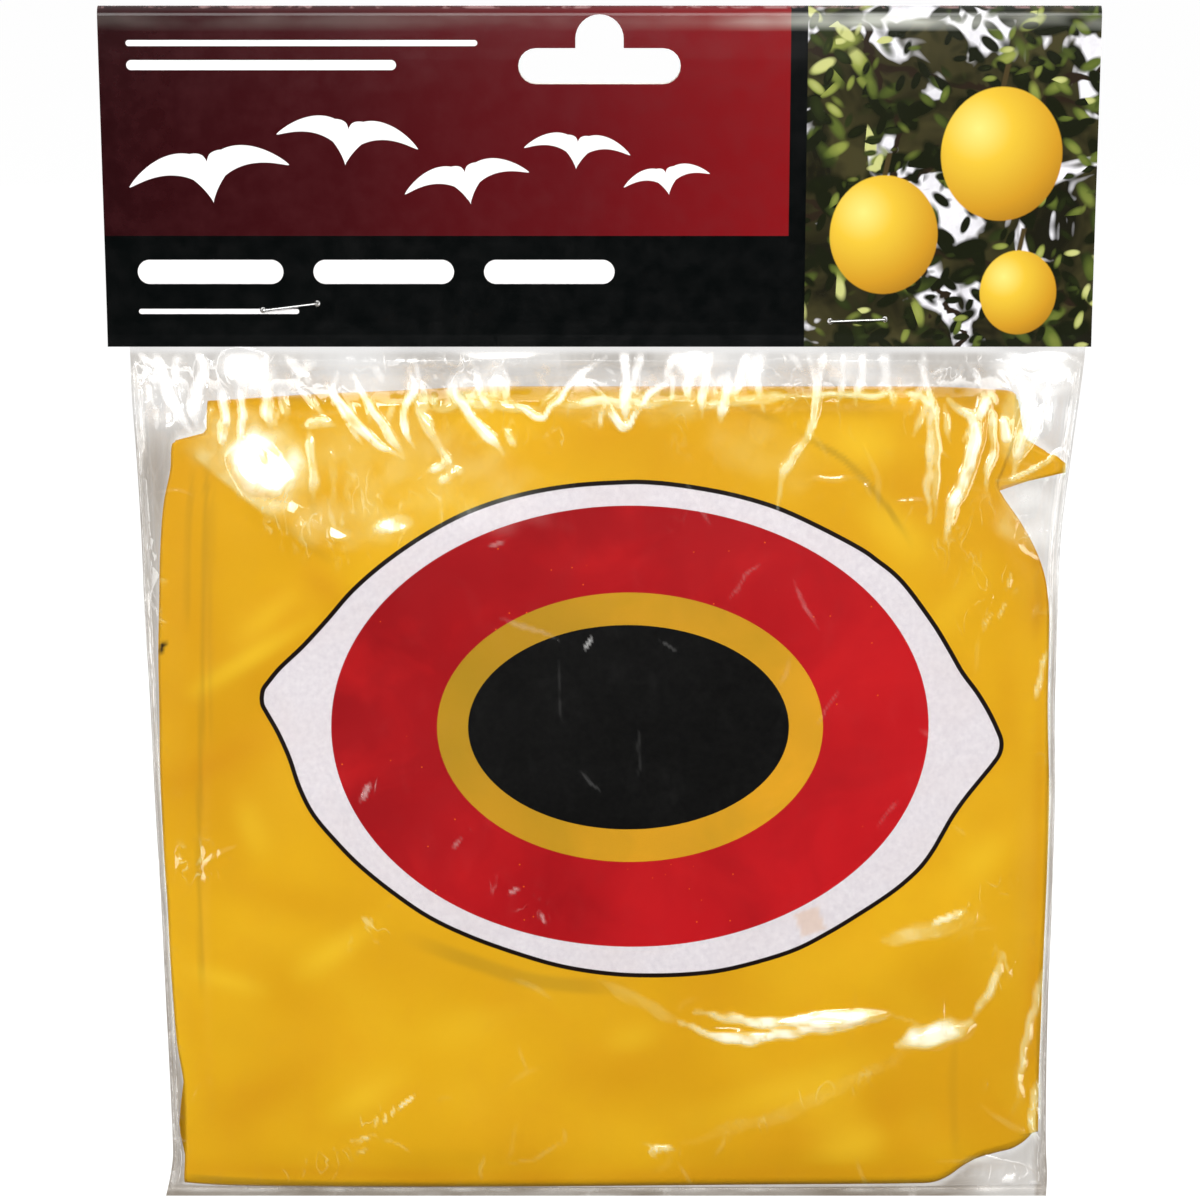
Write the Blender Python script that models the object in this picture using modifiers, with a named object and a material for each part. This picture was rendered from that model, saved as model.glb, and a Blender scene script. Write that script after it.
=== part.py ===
"""Bird scare balloon, folded and packed for hanging on a peg.

A vinyl ball of six gores lies folded in three inside a clear film bag. A folded
printed card closes the bag's mouth with two staples and has the hanging slot.
A sheet of reflective pupils lies behind the folded ball.

Metres, +Z up, front of the pack towards -Y. The origin is the centre of the
round peg notch of the hanging slot, in the card's middle plane.
"""

import math

import bmesh
import bpy
from mathutils import Vector

MM = 0.001

# ---- header card ----------------------------------------------------------
CARD_W = 196.9          # width of the card
CARD_TOP = 6.4          # top of the fold above the origin
CARD_H = 67.3           # height of the folded card
CARD_T = 0.4            # board thickness
CARD_LOW_Y = 0.85       # half distance between the panels' middles at the staples
CARD_LOOP_R = 1.70      # radius of the fold at the top
CARD_BOTTOM = CARD_TOP - CARD_H

# ---- hanging slot ---------------------------------------------------------
SLOT_W = 32.0           # over the two wings
SLOT_WING_H = 7.0       # height of the wings
NOTCH_R = 4.75          # round peg notch, centred on the origin
WING_BOTTOM = -8.8      # lower edge of the wings

# ---- film bag -------------------------------------------------------------
FILM_T = 0.2
FILM_Y = 0.25           # half distance between the two walls' middles in a flat seam
MOUTH_HALF_W = 95.65
MOUTH_TOP = -21.0
MOUTH_LOW = -61.35
HINGE_Z = -62.0         # line on which the film bends below the card
WALL_TOP = -62.65
NECK_LOW = -64.5        # the walls run flat together down to here
SHOULDER_LOW = -66.7
BAG_SIDE = 91.3         # where the walls part from the side seam's fin
BAG_FLOOR = -239.8      # where the walls part from the bottom seam's fin
BAG_BOTTOM = -242.2

# ---- folded ball ----------------------------------------------------------
GORES = 6
VINYL_T = 0.2
PITCH = 0.5             # from one vinyl layer to the next
STACK_FRONT = -4.5      # front face of the folded ball
STACK_TOP = -69.1
STACK_BOTTOM = -239.1
STACK_HALF_W = 90.3
PATCH_ROOM = 0.5        # extra room between the two flaps for the bottom patch
FLAP_LENGTH = 165.0     # from a fold to the pole
TIP_HALF_W = 13.0

YF = STACK_FRONT + VINYL_T / 2
FLAP_Y = YF + (3 * GORES - 1) * PITCH + PATCH_ROOM      # middle of the outermost back layer
STACK_BACK = FLAP_Y + VINYL_T / 2

# ---- what lies behind the ball --------------------------------------------
POLE_PATCH_R = 22.0
TOP_PATCH_Z = -209.0
BOTTOM_PATCH_Z = -104.0
VALVE_Z = -150.0
FLANGE_R = 11.0
FLANGE_T = 0.6
BOSS_R = 5.6
BOSS_H = 2.4            # boss over the flange's underside
BORE_R = 3.1
PIN_R = 2.8
PIN_L = 1.5
HEAD_R = 4.7
HEAD_T = 0.9
SHEET_X = (-82.0, -28.0)
SHEET_Z = (-232.0, -150.0)
STICKER_R = 11.8


# ---- scene ----------------------------------------------------------------
for old in list(bpy.data.objects):
    bpy.data.objects.remove(old, do_unlink=True)

pack = bpy.data.collections.new("bird_scare_balloon")
tools = bpy.data.collections.new("cutters")
bpy.context.scene.collection.children.link(pack)
bpy.context.scene.collection.children.link(tools)


def material(name, colour, rough, metal=0.0, alpha=1.0):
    m = bpy.data.materials.new(name)
    m.use_nodes = True
    p = m.node_tree.nodes["Principled BSDF"]
    p.inputs["Base Color"].default_value = (*colour, 1.0)
    p.inputs["Roughness"].default_value = rough
    p.inputs["Metallic"].default_value = metal
    p.inputs["Alpha"].default_value = alpha
    return m


CARD = material("printed_card", (0.20, 0.012, 0.016), 0.22)
STEEL = material("staple_steel", (0.55, 0.55, 0.56), 0.35, 1.0)
FILM = material("clear_film", (0.92, 0.92, 0.93), 0.08, 0.0, 0.2)
VINYL = material("yellow_vinyl", (0.80, 0.41, 0.02), 0.32)
PATCH = material("patch_vinyl", (0.74, 0.36, 0.02), 0.30)
CLEAR_PVC = material("valve_pvc", (0.80, 0.78, 0.70), 0.18, 0.0, 0.7)
PAPER = material("sticker_backing_paper", (0.80, 0.79, 0.74), 0.6)
FOIL = material("reflective_foil", (0.78, 0.79, 0.80), 0.12, 1.0)


def link(obj, mat=None, home=pack):
    home.objects.link(obj)
    if mat is not None:
        obj.data.materials.append(mat)
    return obj


def from_bmesh(name, bm, mat=None, home=pack):
    mesh = bpy.data.meshes.new(name)
    bm.to_mesh(mesh)
    bm.free()
    return link(bpy.data.objects.new(name, mesh), mat, home)


def sheet(name, columns, rows, place, mat, thickness, origin=(0, 0, 0)):
    """A sheet of columns x rows points, each put where place says, with a thickness."""
    at = Vector(origin) * MM
    bm = bmesh.new()
    bmesh.ops.create_grid(bm, x_segments=columns - 1, y_segments=rows - 1, size=1.0)
    for v in bm.verts:
        i = round((v.co.x + 1) / 2 * (columns - 1))
        j = round((v.co.y + 1) / 2 * (rows - 1))
        v.co = Vector(place(i, j)) * MM - at
    bmesh.ops.recalc_face_normals(bm, faces=bm.faces)
    obj = from_bmesh(name, bm, mat)
    obj.location = at
    solid = obj.modifiers.new("thickness", "SOLIDIFY")
    solid.thickness = thickness * MM
    solid.offset = 0.0
    solid.use_even_offset = True
    return obj


def disc(name, radius, thick, at, mat, segments=40, home=pack):
    """A round plate lying in the pack's plane, with its front face at at's y."""
    bm = bmesh.new()
    bmesh.ops.create_cone(bm, cap_ends=True, segments=segments, radius1=radius * MM,
                          radius2=radius * MM, depth=thick * MM)
    obj = from_bmesh(name, bm, mat, home)
    obj.rotation_euler = (math.radians(-90), 0, 0)
    obj.location = (at[0] * MM, (at[1] + thick / 2) * MM, at[2] * MM)
    return obj


def cutter(obj):
    obj.hide_render = True
    obj.display_type = "WIRE"
    return obj


def cut(obj, tool, name="cut"):
    m = obj.modifiers.new(name, "BOOLEAN")
    m.operation = "DIFFERENCE"
    m.solver = "EXACT"
    m.object = tool


def outline(name, points, depth, mat, home=pack):
    """A flat outline in the XZ plane, depth thick along Y, as a filled 2D curve."""
    c = bpy.data.curves.new(name, "CURVE")
    c.dimensions = "2D"
    c.fill_mode = "BOTH"
    c.extrude = depth / 2 * MM
    s = c.splines.new("POLY")
    s.points.add(len(points) - 1)
    for q, (x, z) in zip(s.points, points):
        q.co = (x * MM, z * MM, 0, 1)
    s.use_cyclic_u = True
    curve = bpy.data.objects.new(name + "_outline", c)
    home.objects.link(curve)
    curve.rotation_euler = (math.radians(90), 0, 0)
    bpy.context.view_layer.update()
    mesh = bpy.data.meshes.new_from_object(curve.evaluated_get(bpy.context.evaluated_depsgraph_get()))
    bm = bmesh.new()
    bm.from_mesh(mesh)
    bmesh.ops.remove_doubles(bm, verts=bm.verts, dist=1e-6)
    bm.to_mesh(mesh)
    bm.free()
    mesh.name = name
    obj = bpy.data.objects.new(name, mesh)
    obj.matrix_world = curve.matrix_world.copy()
    bpy.data.objects.remove(curve)
    return link(obj, mat, home)


def arc(cx, cz, r, a0, a1, n):
    return [(cx + r * math.cos(math.radians(a0 + (a1 - a0) * i / n)),
             cz + r * math.sin(math.radians(a0 + (a1 - a0) * i / n))) for i in range(n + 1)]


def interp(x, table):
    """A value read from a table of (x, value) with straight runs between."""
    if x <= table[0][0]:
        return table[0][1]
    for (x0, v0), (x1, v1) in zip(table, table[1:]):
        if x <= x1:
            return v0 + (v1 - v0) * (x - x0) / (x1 - x0)
    return table[-1][1]


# ---- header card: one board folded over the bag's mouth ---------------------
def card_half_gap(z):
    """Half distance between the panels' middles at a height."""
    t = min(1.0, max(0.0, (z + 50.0) / 52.0))
    t = t * t * (3 - 2 * t)
    flare = 0.12 * max(0.0, (-56.0 - z) / (-56.0 - CARD_BOTTOM)) ** 2
    return CARD_LOW_Y + flare + (CARD_LOOP_R - CARD_LOW_Y) * t


loop_z = CARD_TOP - CARD_T / 2 - CARD_LOOP_R
heights = [CARD_BOTTOM, -58.5, -56.0, -50.0, -40.0, -30.0, -20.0, -10.0, -4.0, 2.0]
profile = [(-card_half_gap(z), z) for z in heights]
profile += [(-CARD_LOOP_R * math.cos(math.radians(a)), loop_z + CARD_LOOP_R * math.sin(math.radians(a)))
            for a in range(0, 181, 15)]
profile += [(card_half_gap(z), z) for z in reversed(heights)]
card = sheet("header_card", 2, len(profile),
             lambda i, j: ((i - 0.5) * CARD_W, *profile[j]), CARD, CARD_T)

wing_r = SLOT_WING_H / 2
wing_z = WING_BOTTOM + wing_r
wing_top = WING_BOTTOM + SLOT_WING_H
half = SLOT_W / 2 - wing_r
slot = [(half + x, z) for x, z in arc(0, wing_z, wing_r, -90, 90, 10)]
slot += [(NOTCH_R, wing_top)] + arc(0, 0, NOTCH_R, 0, 180, 16) + [(-NOTCH_R, wing_top)]
slot += [(x - half, z) for x, z in arc(0, wing_z, wing_r, 90, 270, 10)]
slot_tool = cutter(outline("slot_cutter", slot, 12, None, tools))
cut(card, slot_tool, "hanging_slot")

# ---- bag mouth: the film between the card's two panels ----------------------
loop = [(-MOUTH_HALF_W, 0.0), (-MOUTH_HALF_W + 0.25, -FILM_Y), (0.0, -FILM_Y), (MOUTH_HALF_W - 0.25, -FILM_Y),
        (MOUTH_HALF_W, 0.0), (MOUTH_HALF_W - 0.25, FILM_Y), (0.0, FILM_Y), (-MOUTH_HALF_W + 0.25, FILM_Y)]
bm = bmesh.new()
ring = [bm.verts.new((x * MM, y * MM, MOUTH_LOW * MM)) for x, y in loop]
edges = [bm.edges.new((a, b)) for a, b in zip(ring, ring[1:] + ring[:1])]
up = bmesh.ops.extrude_edge_only(bm, edges=edges)["geom"]
bmesh.ops.translate(bm, verts=[g for g in up if isinstance(g, bmesh.types.BMVert)],
                    vec=(0, 0, (MOUTH_TOP - MOUTH_LOW) * MM))
bmesh.ops.recalc_face_normals(bm, faces=bm.faces)
mouth = from_bmesh("bag_mouth", bm, FILM)
m = mouth.modifiers.new("thickness", "SOLIDIFY")
m.thickness, m.offset, m.use_even_offset = FILM_T * MM, 0.0, True

# ---- staples: crown in front, legs through card and film, clinched behind ---
STAPLE_CROWN = 11.4
STAPLE_WIRE = 0.5
STAPLE_Y = CARD_LOW_Y + CARD_T / 2 + 0.3 + STAPLE_WIRE / 2


def staple(name, x, z, tilt):
    h = STAPLE_CROWN / 2 - STAPLE_WIRE / 2
    y = STAPLE_Y + 0.05
    r = 0.45
    path = [(-1.6, y + 0.05), (-h + r, y)]
    path += [(-h + r - r * math.sin(math.radians(a)), y - r + r * math.cos(math.radians(a))) for a in (30, 60, 90)]
    path += [(-h + r - r * math.cos(math.radians(a)), -y + r - r * math.sin(math.radians(a))) for a in (0, 30, 60, 90)]
    path += [(-px, py) for px, py in reversed(path)]
    c = bpy.data.curves.new(name, "CURVE")
    c.dimensions = "3D"
    c.bevel_depth = STAPLE_WIRE / 2 * MM
    c.bevel_resolution = 2
    c.use_fill_caps = True
    s = c.splines.new("POLY")
    s.points.add(len(path) - 1)
    for q, (px, py) in zip(s.points, path):
        q.co = (px * MM, py * MM, 0, 1)
    obj = link(bpy.data.objects.new(name, c), STEEL)
    obj.location = (x * MM, 0, z * MM)
    obj.rotation_euler = (0, math.radians(-tilt), 0)
    for side in (-1, 1):
        a = math.radians(tilt)
        at = (x + side * h * math.cos(a), -6.0, z + side * h * math.sin(a))
        tool = cutter(disc(f"{name}_hole_{'l' if side < 0 else 'r'}", 0.6, 12.0, at, None, 12, tools))
        cut(card, tool, "staple_hole")
        cut(mouth, tool, "staple_hole")
    return obj


staple("staple_left", -61.8, CARD_BOTTOM + 8.0, 7.0)
staple("staple_right", 51.6, CARD_BOTTOM + 5.3, 2.0)


# ---- the bag's two walls ----------------------------------------------------
FIN = [(BAG_BOTTOM, 93.2), (-238.0, 92.4), (-225.0, 91.95), (-200.0, 92.0), (-156.0, 92.5), (-114.0, 93.0),
       (-82.0, 94.3), (WALL_TOP, 95.65)]


def wall(name, sign, across, down, depth, mat):
    """A wall of the bag: depth(x, z) is how far it stands off the seam plane."""
    cols = [-c for c in reversed(across)] + [c for c in across if c > 0]
    cols = [None] + cols + [None]

    def place(i, j):
        z = down[j]
        w = interp(z, FIN)
        x = cols[i]
        if x is None:
            x = -w if i == 0 else w
        return (x, sign * depth(x, z), z)

    return sheet(name, len(cols), len(down), place, mat, FILM_T, (0, 0, HINGE_Z))


def front_depth(x, z):
    side = interp(BAG_SIDE - abs(x), [(0, FILM_Y), (0.65, 4.95), (46, 6.3)])
    floor = interp(z - BAG_FLOOR, [(0, FILM_Y), (0.6, 4.95), (40, 6.3)])
    top = interp(NECK_LOW - z, [(0, FILM_Y), (NECK_LOW - SHOULDER_LOW, 4.95), (40, 6.3)])
    return min(side, floor, top)


def back_depth(x, z):
    side = interp(BAG_SIDE - abs(x), [(0, FILM_Y), (0.65, 5.2), (9.3, 6.6), (20, 8.2), (46, 9.9), (91, 12.6)])
    floor = interp(z - BAG_FLOOR, [(0, FILM_Y), (1.2, 3.6), (3, 6.1), (6.5, 7.7), (9, 8.5), (40, 10.8), (88, 12.6)])
    top = interp(NECK_LOW - z, [(0, FILM_Y), (NECK_LOW - SHOULDER_LOW, 5.2), (12, 7.2), (40, 10.8), (84, 12.6)])
    return min(side, floor, top)


wall("bag_front_wall", -1, [0, 45, 86, 90.65, BAG_SIDE],
     [BAG_BOTTOM, BAG_FLOOR, BAG_FLOOR + 0.6, -225.0, -156.0, -114.0, -82.0, SHOULDER_LOW, NECK_LOW, WALL_TOP],
     front_depth, FILM)
wall("bag_back_wall", 1, [0, 22, 45, 60, 71.3, 82, 90.65, BAG_SIDE],
     [BAG_BOTTOM, BAG_FLOOR, BAG_FLOOR + 1.2, BAG_FLOOR + 3, BAG_FLOOR + 6.5, BAG_FLOOR + 9, -225.0, BAG_FLOOR + 40,
      -175.0, BAG_FLOOR + 88, -130.0, NECK_LOW - 40, -91.0, NECK_LOW - 12, SHOULDER_LOW, NECK_LOW, WALL_TOP],
     back_depth, FILM)


# ---- the folded ball: six gores, nested and folded in three -----------------
def flap_half_width(d):
    """Half width of a gore at a distance from the fold: it narrows to the pole."""
    return max(TIP_HALF_W, STACK_HALF_W * math.cos(math.pi / 2 * min(1.0, d / FLAP_LENGTH)))


def gore_stations(k):
    """(half width, y, z) along gore k, from the lower flap's tip to the upper flap's tip."""
    last = 2 * GORES - 1
    r_low = (last - 2 * k) * PITCH / 2
    r_top = ((3 * GORES - 1 - 2 * k) * PITCH + PATCH_ROOM) / 2
    big_low = last * PITCH / 2
    big_top = ((3 * GORES - 1) * PITCH + PATCH_ROOM) / 2
    yc_low, zc_low = YF + big_low, STACK_BOTTOM + big_low + VINYL_T / 2
    yc_top, zc_top = YF + big_top, STACK_TOP - big_top - VINYL_T / 2
    w = STACK_HALF_W - 0.15 * k
    out = []
    tip = zc_top - 3.0 - 0.8 * k
    for i in range(8, 0, -1):
        z = zc_low + (tip - zc_low) * i / 8
        out.append((min(w, flap_half_width(z - zc_low)), yc_low + r_low, z))
    out += [(w, yc_low + r_low * math.cos(math.radians(a)), zc_low - r_low * math.sin(math.radians(a)))
            for a in range(0, 181, 30)]
    out += [(w, yc_top - r_top * math.cos(math.radians(a)), zc_top + r_top * math.sin(math.radians(a)))
            for a in range(0, 181, 30)]
    tip = STACK_BOTTOM + 5.0 + 0.8 * k
    for i in range(1, 9):
        z = zc_top + (tip - zc_top) * i / 8
        out.append((min(w, flap_half_width(zc_top - z)), yc_top + r_top, z))
    return out


for k in range(GORES):
    st = gore_stations(k)
    gore = sheet(f"gore_{k + 1}", 2, len(st),
                 lambda i, j, st=st: ((2 * i - 1) * st[j][0], st[j][1], st[j][2]), VINYL, VINYL_T)
    if k == 0:
        cut(gore, cutter(disc("valve_hole_cutter", 2.4, 2.0, (0, FLAP_Y - 0.3, VALVE_Z), None, 24, tools)),
            "valve_hole")

# ---- pole patches, hanging tab ----------------------------------------------
disc("bottom_pole_patch", POLE_PATCH_R, VINYL_T,
     (0, YF + (2 * GORES - 1) * PITCH + VINYL_T / 2 + 0.3, BOTTOM_PATCH_Z), PATCH)
disc("top_pole_patch", POLE_PATCH_R, VINYL_T, (0, STACK_BACK + 0.3, TOP_PATCH_Z), PATCH)

tab_w, tab_low, tab_high = 8.0, -215.0, -192.0
tab = outline("hang_tab",
              [(-tab_w, tab_low), (tab_w, tab_low)] + arc(0, tab_high - tab_w, tab_w, 0, 180, 16), 0.5, PATCH)
tab.location.y = (STACK_BACK + 0.3 + VINYL_T + 0.3 + 0.25) * MM
cut(tab, cutter(disc("tab_eye_cutter", 2.6, 8.0, (0, 2.0, tab_high - tab_w), None, 24, tools)), "eye")

# ---- valve: flange and boss, plug, strap ------------------------------------
valve_y = STACK_BACK + 0.3


def turned(name, rings, at_y, at_z, mat, segments=40):
    """A turned piece about an axis along Y: rings of (radius, y), top to bottom down its outer side."""
    bm = bmesh.new()
    vs = [bm.verts.new((r * MM, 0, y * MM)) for r, y in rings]
    closed = rings[0][0] > 0
    for a, b in zip(vs, vs[1:]):
        bm.edges.new((a, b))
    if closed:
        bm.edges.new((vs[-1], vs[0]))
    obj = from_bmesh(name, bm, mat)
    s = obj.modifiers.new("turn", "SCREW")
    s.axis = "Z"
    s.steps = s.render_steps = segments
    s.use_merge_vertices = True
    s.merge_threshold = 0.000002
    s.use_smooth_shade = False
    obj.rotation_euler = (math.radians(-90), 0, 0)
    obj.location = (0, at_y * MM, at_z * MM)
    return obj


turned("valve_body", [(BORE_R, BOSS_H), (BOSS_R - 0.4, BOSS_H), (BOSS_R, BOSS_H - 0.4), (BOSS_R, FLANGE_T),
                      (FLANGE_R - 0.3, FLANGE_T), (FLANGE_R, FLANGE_T / 2), (FLANGE_R, 0.0),
                      (2.4, 0.0), (2.4, 0.5), (BORE_R, 0.5)], valve_y, VALVE_Z, CLEAR_PVC)
plug_y = valve_y + BOSS_H + 0.3
turned("valve_plug", [(0.0, HEAD_T), (HEAD_R - 0.5, HEAD_T), (HEAD_R, HEAD_T - 0.4), (HEAD_R, 0.0),
                      (PIN_R, 0.0), (PIN_R, -PIN_L), (PIN_R - 0.4, -PIN_L - 0.3), (0.0, -PIN_L - 0.3)],
       plug_y, VALVE_Z, CLEAR_PVC)

# the strap runs from the flange's rim up to the plug's head, and is cut short of both
strap_path = [(-FLANGE_R - 1.6, valve_y + 0.35), (-FLANGE_R - 3.4, valve_y + 0.45), (-FLANGE_R - 4.3, valve_y + 1.2),
              (-FLANGE_R - 3.6, valve_y + 2.3), (-FLANGE_R - 0.5, plug_y + 0.35), (-HEAD_R - 0.35, plug_y + 0.45)]
sheet("plug_strap", 2, len(strap_path),
      lambda i, j: (strap_path[j][0], strap_path[j][1], VALVE_Z + (2 * i - 1) * 1.5), CLEAR_PVC, 0.5)

# ---- sheet of reflective pupils ---------------------------------------------
sheet_y = STACK_BACK + 0.35
x0, x1 = SHEET_X
z0, z1 = SHEET_Z
r = 3.0
corners = arc(x1 - r, z0 + r, r, -90, 0, 4) + arc(x1 - r, z1 - r, r, 0, 90, 4) \
    + arc(x0 + r, z1 - r, r, 90, 180, 4) + arc(x0 + r, z0 + r, r, 180, 270, 4)
backing = outline("sticker_backing", corners, 0.3, PAPER)
backing.location.y = (sheet_y + 0.15) * MM
n = 0
for row in range(3):
    for col in range(2):
        n += 1
        disc(f"pupil_sticker_{n}", STICKER_R, 0.2,
             (x0 + 14 + 26 * col, sheet_y + 0.6, z1 - 15 - 26 * row), FOIL, 32)

for obj in pack.objects:
    if obj.type == "MESH":
        obj.data.shade_smooth()
        obj.data.set_sharp_from_angle(angle=math.radians(35))
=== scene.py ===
import math
import random

import bmesh
import bpy
import numpy as np
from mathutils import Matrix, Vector


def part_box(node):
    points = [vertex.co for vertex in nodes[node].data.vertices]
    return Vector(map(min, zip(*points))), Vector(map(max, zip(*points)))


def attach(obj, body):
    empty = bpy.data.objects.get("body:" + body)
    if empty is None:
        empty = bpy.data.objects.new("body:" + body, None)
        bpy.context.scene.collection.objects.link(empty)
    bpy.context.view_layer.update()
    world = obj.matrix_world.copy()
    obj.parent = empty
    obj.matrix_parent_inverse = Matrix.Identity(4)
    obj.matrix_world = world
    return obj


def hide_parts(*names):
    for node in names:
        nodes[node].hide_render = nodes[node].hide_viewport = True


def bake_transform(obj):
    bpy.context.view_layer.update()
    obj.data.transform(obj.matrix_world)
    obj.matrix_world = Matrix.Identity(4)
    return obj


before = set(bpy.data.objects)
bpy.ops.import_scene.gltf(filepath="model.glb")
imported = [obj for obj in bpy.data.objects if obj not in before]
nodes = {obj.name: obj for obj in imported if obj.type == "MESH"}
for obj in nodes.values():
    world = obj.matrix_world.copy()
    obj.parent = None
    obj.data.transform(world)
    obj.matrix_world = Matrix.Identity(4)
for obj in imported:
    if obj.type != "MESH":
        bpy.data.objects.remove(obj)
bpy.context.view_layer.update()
MM = 0.001
scene = bpy.context.scene
scene.view_settings.view_transform = "Standard"

# ---------------------------------------------------------------- camera
DIST, ELEV, AIM_Z, FOCAL, CU, CV = 700.0, math.radians(12.5), -117.0, 3430.0, 599.5, 619.1
SE, CE = math.sin(ELEV), math.cos(ELEV)

cam_data = bpy.data.cameras.new("camera")
cam_data.sensor_width = 36.0
cam_data.lens = FOCAL / 1200 * 36.0
cam_data.shift_x = (600 - CU) / 1200
cam_data.shift_y = (CV - 600) / 1200
cam_data.clip_start, cam_data.clip_end = 0.01, 60.0
cam = bpy.data.objects.new("camera", cam_data)
cam.location = (0, -DIST * CE * MM, (AIM_Z + DIST * SE) * MM)
cam.rotation_euler = (math.pi / 2 - ELEV, 0, 0)
scene.collection.objects.link(cam)
scene.camera = cam


def at(u, v, y=-5.0):
    """The point, in mm, where the ray through a place in the picture meets the plane at y."""
    q = -(v - CV) / FOCAL
    zz = (q * (DIST + y * CE) - y * SE) / (CE + q * SE)
    depth = DIST + y * CE - zz * SE
    return (u - CU) / FOCAL * depth, zz + AIM_Z


# where the lamps stand: azimuth, elevation and distance in mm from the aim
LAMPS = {"low": (0, 10, 1300), "top": (0, 28, 1150), "left": (-50, 10, 1100), "right": (49, 6, 1100)}


def lamp_place(name):
    a, e, far = math.radians(LAMPS[name][0]), math.radians(LAMPS[name][1]), LAMPS[name][2]
    return np.array([math.sin(a) * math.cos(e), -math.cos(a) * math.cos(e), math.sin(e)]) * far + np.array([0, 0, AIM_Z])


def slant(x, z, lamp):
    """The slopes, to the right and upwards, of a wall at y -5 that would throw a lamp's light to the camera."""
    p = np.array([x, -5.0, z])
    a, b = lamp_place(lamp) - p, np.array([0, -DIST * CE, AIM_Z + DIST * SE]) - p
    n = a / np.linalg.norm(a) + b / np.linalg.norm(b)
    return n[0] / n[1], n[2] / n[1]


# ---------------------------------------------------------------- the CAD's sizes
CARD_LOW, CARD_TOP, LOOP_Z = -60.9, 6.4, 4.5
HINGE_Z = -62.0
BAG_BOTTOM = -242.2
STACK_TOP, STACK_BOTTOM = -69.1, -239.1
GORES, PITCH, VINYL_T, PATCH_ROOM = 6, 0.5, 0.2, 0.5
YF = -4.4
Y_MID = 0.1


# ---------------------------------------------------------------- small tools
def curve(table):
    """A smooth function through (z, value) pairs, flat outside them."""
    t = sorted(table)
    xs, ys = np.array([p[0] for p in t], float), np.array([p[1] for p in t], float)
    m = np.gradient(ys, xs) if len(xs) > 2 else np.zeros(len(xs))
    d = np.diff(ys) / np.diff(xs)
    for i in range(1, len(xs) - 1):
        m[i] = 0 if d[i - 1] * d[i] <= 0 else min(abs(m[i]), 3 * abs(d[i - 1]), 3 * abs(d[i])) * np.sign(d[i])
    m[0], m[-1] = d[0], d[-1]

    def f(x):
        x = np.clip(np.asarray(x, float), xs[0], xs[-1])
        i = np.clip(np.searchsorted(xs, x) - 1, 0, len(xs) - 2)
        h = xs[i + 1] - xs[i]
        s = (x - xs[i]) / h
        return ((2 * s**3 - 3 * s**2 + 1) * ys[i] + (s**3 - 2 * s**2 + s) * h * m[i]
                + (-2 * s**3 + 3 * s**2) * ys[i + 1] + (s**3 - s**2) * h * m[i + 1])

    return f


def step(a, b, x):
    """0 before a, 1 after b, smooth between."""
    t = np.clip((np.asarray(x, float) - a) / (b - a), 0, 1)
    return t * t * (3 - 2 * t)


def waves(x, z, size, seed, count=14):
    """Smooth noise of about -1 to 1, with features about size wide."""
    r = random.Random(seed)
    out = np.zeros(np.shape(x))
    for _ in range(count):
        a, k, p = r.uniform(0, math.pi), 2 * math.pi / (size * r.uniform(1.2, 3.2)), r.uniform(0, 6.28)
        out = out + np.sin((x * math.cos(a) + z * math.sin(a)) * k + p)
    return out / math.sqrt(count / 2) / 1.6


def smooth_path(pts, n=6):
    """More points on a smooth line through a few."""
    p = [np.array(q, float) for q in pts]
    p = [2 * p[0] - p[1]] + p + [2 * p[-1] - p[-2]]
    out = []
    for a, b, c, d in zip(p, p[1:], p[2:], p[3:]):
        for i in range(n):
            t = i / n
            out.append(0.5 * (2 * b + (c - a) * t + (2 * a - 5 * b + 4 * c - d) * t**2 + (3 * b - a - 3 * c + d) * t**3))
    out.append(p[-2])
    return np.array(out)


def trace(x, z, pts, reach):
    """Where x, z lie within reach of a line of points: a mask, the distance, the side and the share of the length."""
    pts = np.array(pts, float)
    lo, hi = pts.min(0) - reach, pts.max(0) + reach
    m = (x > lo[0]) & (x < hi[0]) & (z > lo[1]) & (z < hi[1])
    px, pz = x[m], z[m]
    seg = np.diff(pts, axis=0)
    length = np.hypot(seg[:, 0], seg[:, 1])
    total, gone = length.sum(), 0.0
    best, along, sign = np.full(px.shape, 1e9), np.zeros(px.shape), np.zeros(px.shape)
    for (ax, az), (dx, dz), l in zip(pts[:-1], seg, length):
        if l < 1e-9:
            continue
        t = np.clip(((px - ax) * dx + (pz - az) * dz) / (l * l), 0, 1)
        d = np.hypot(px - ax - t * dx, pz - az - t * dz)
        c = d < best
        best[c], along[c] = d[c], (gone + t[c] * l) / total
        sign[c] = np.sign((px[c] - ax) * dz - (pz[c] - az) * dx)
        gone += l
    return m, best, sign, along


def fold(x, z, relief, white, pts, width, height, lean=0.0, whitening_and_highlight=0.0, ends=0.25):
    """Raises a crease along a line of points, and whitens it, as stress whitening and as a painted highlight."""
    m, d, sign, along = trace(x, z, pts, 2.2 * width)
    if not m.any():
        return
    fade = step(0, ends, np.minimum(along, 1 - along))
    taper = 0.45 + 0.55 * fade
    s = d * sign / (width * taper)
    q = np.where(s > 0, s / (1 + lean), -s / (1 - lean))
    r = np.sqrt(q * q + 0.02)
    relief[m] += height * fade * 0.5 * (1.05 - r + np.sqrt((1.05 - r) ** 2 + 0.012))
    if whitening_and_highlight:
        white[m] = np.maximum(white[m], whitening_and_highlight * (0.3 + 0.7 * fade) * (1 - step(0.42, 0.95, q)))


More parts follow.
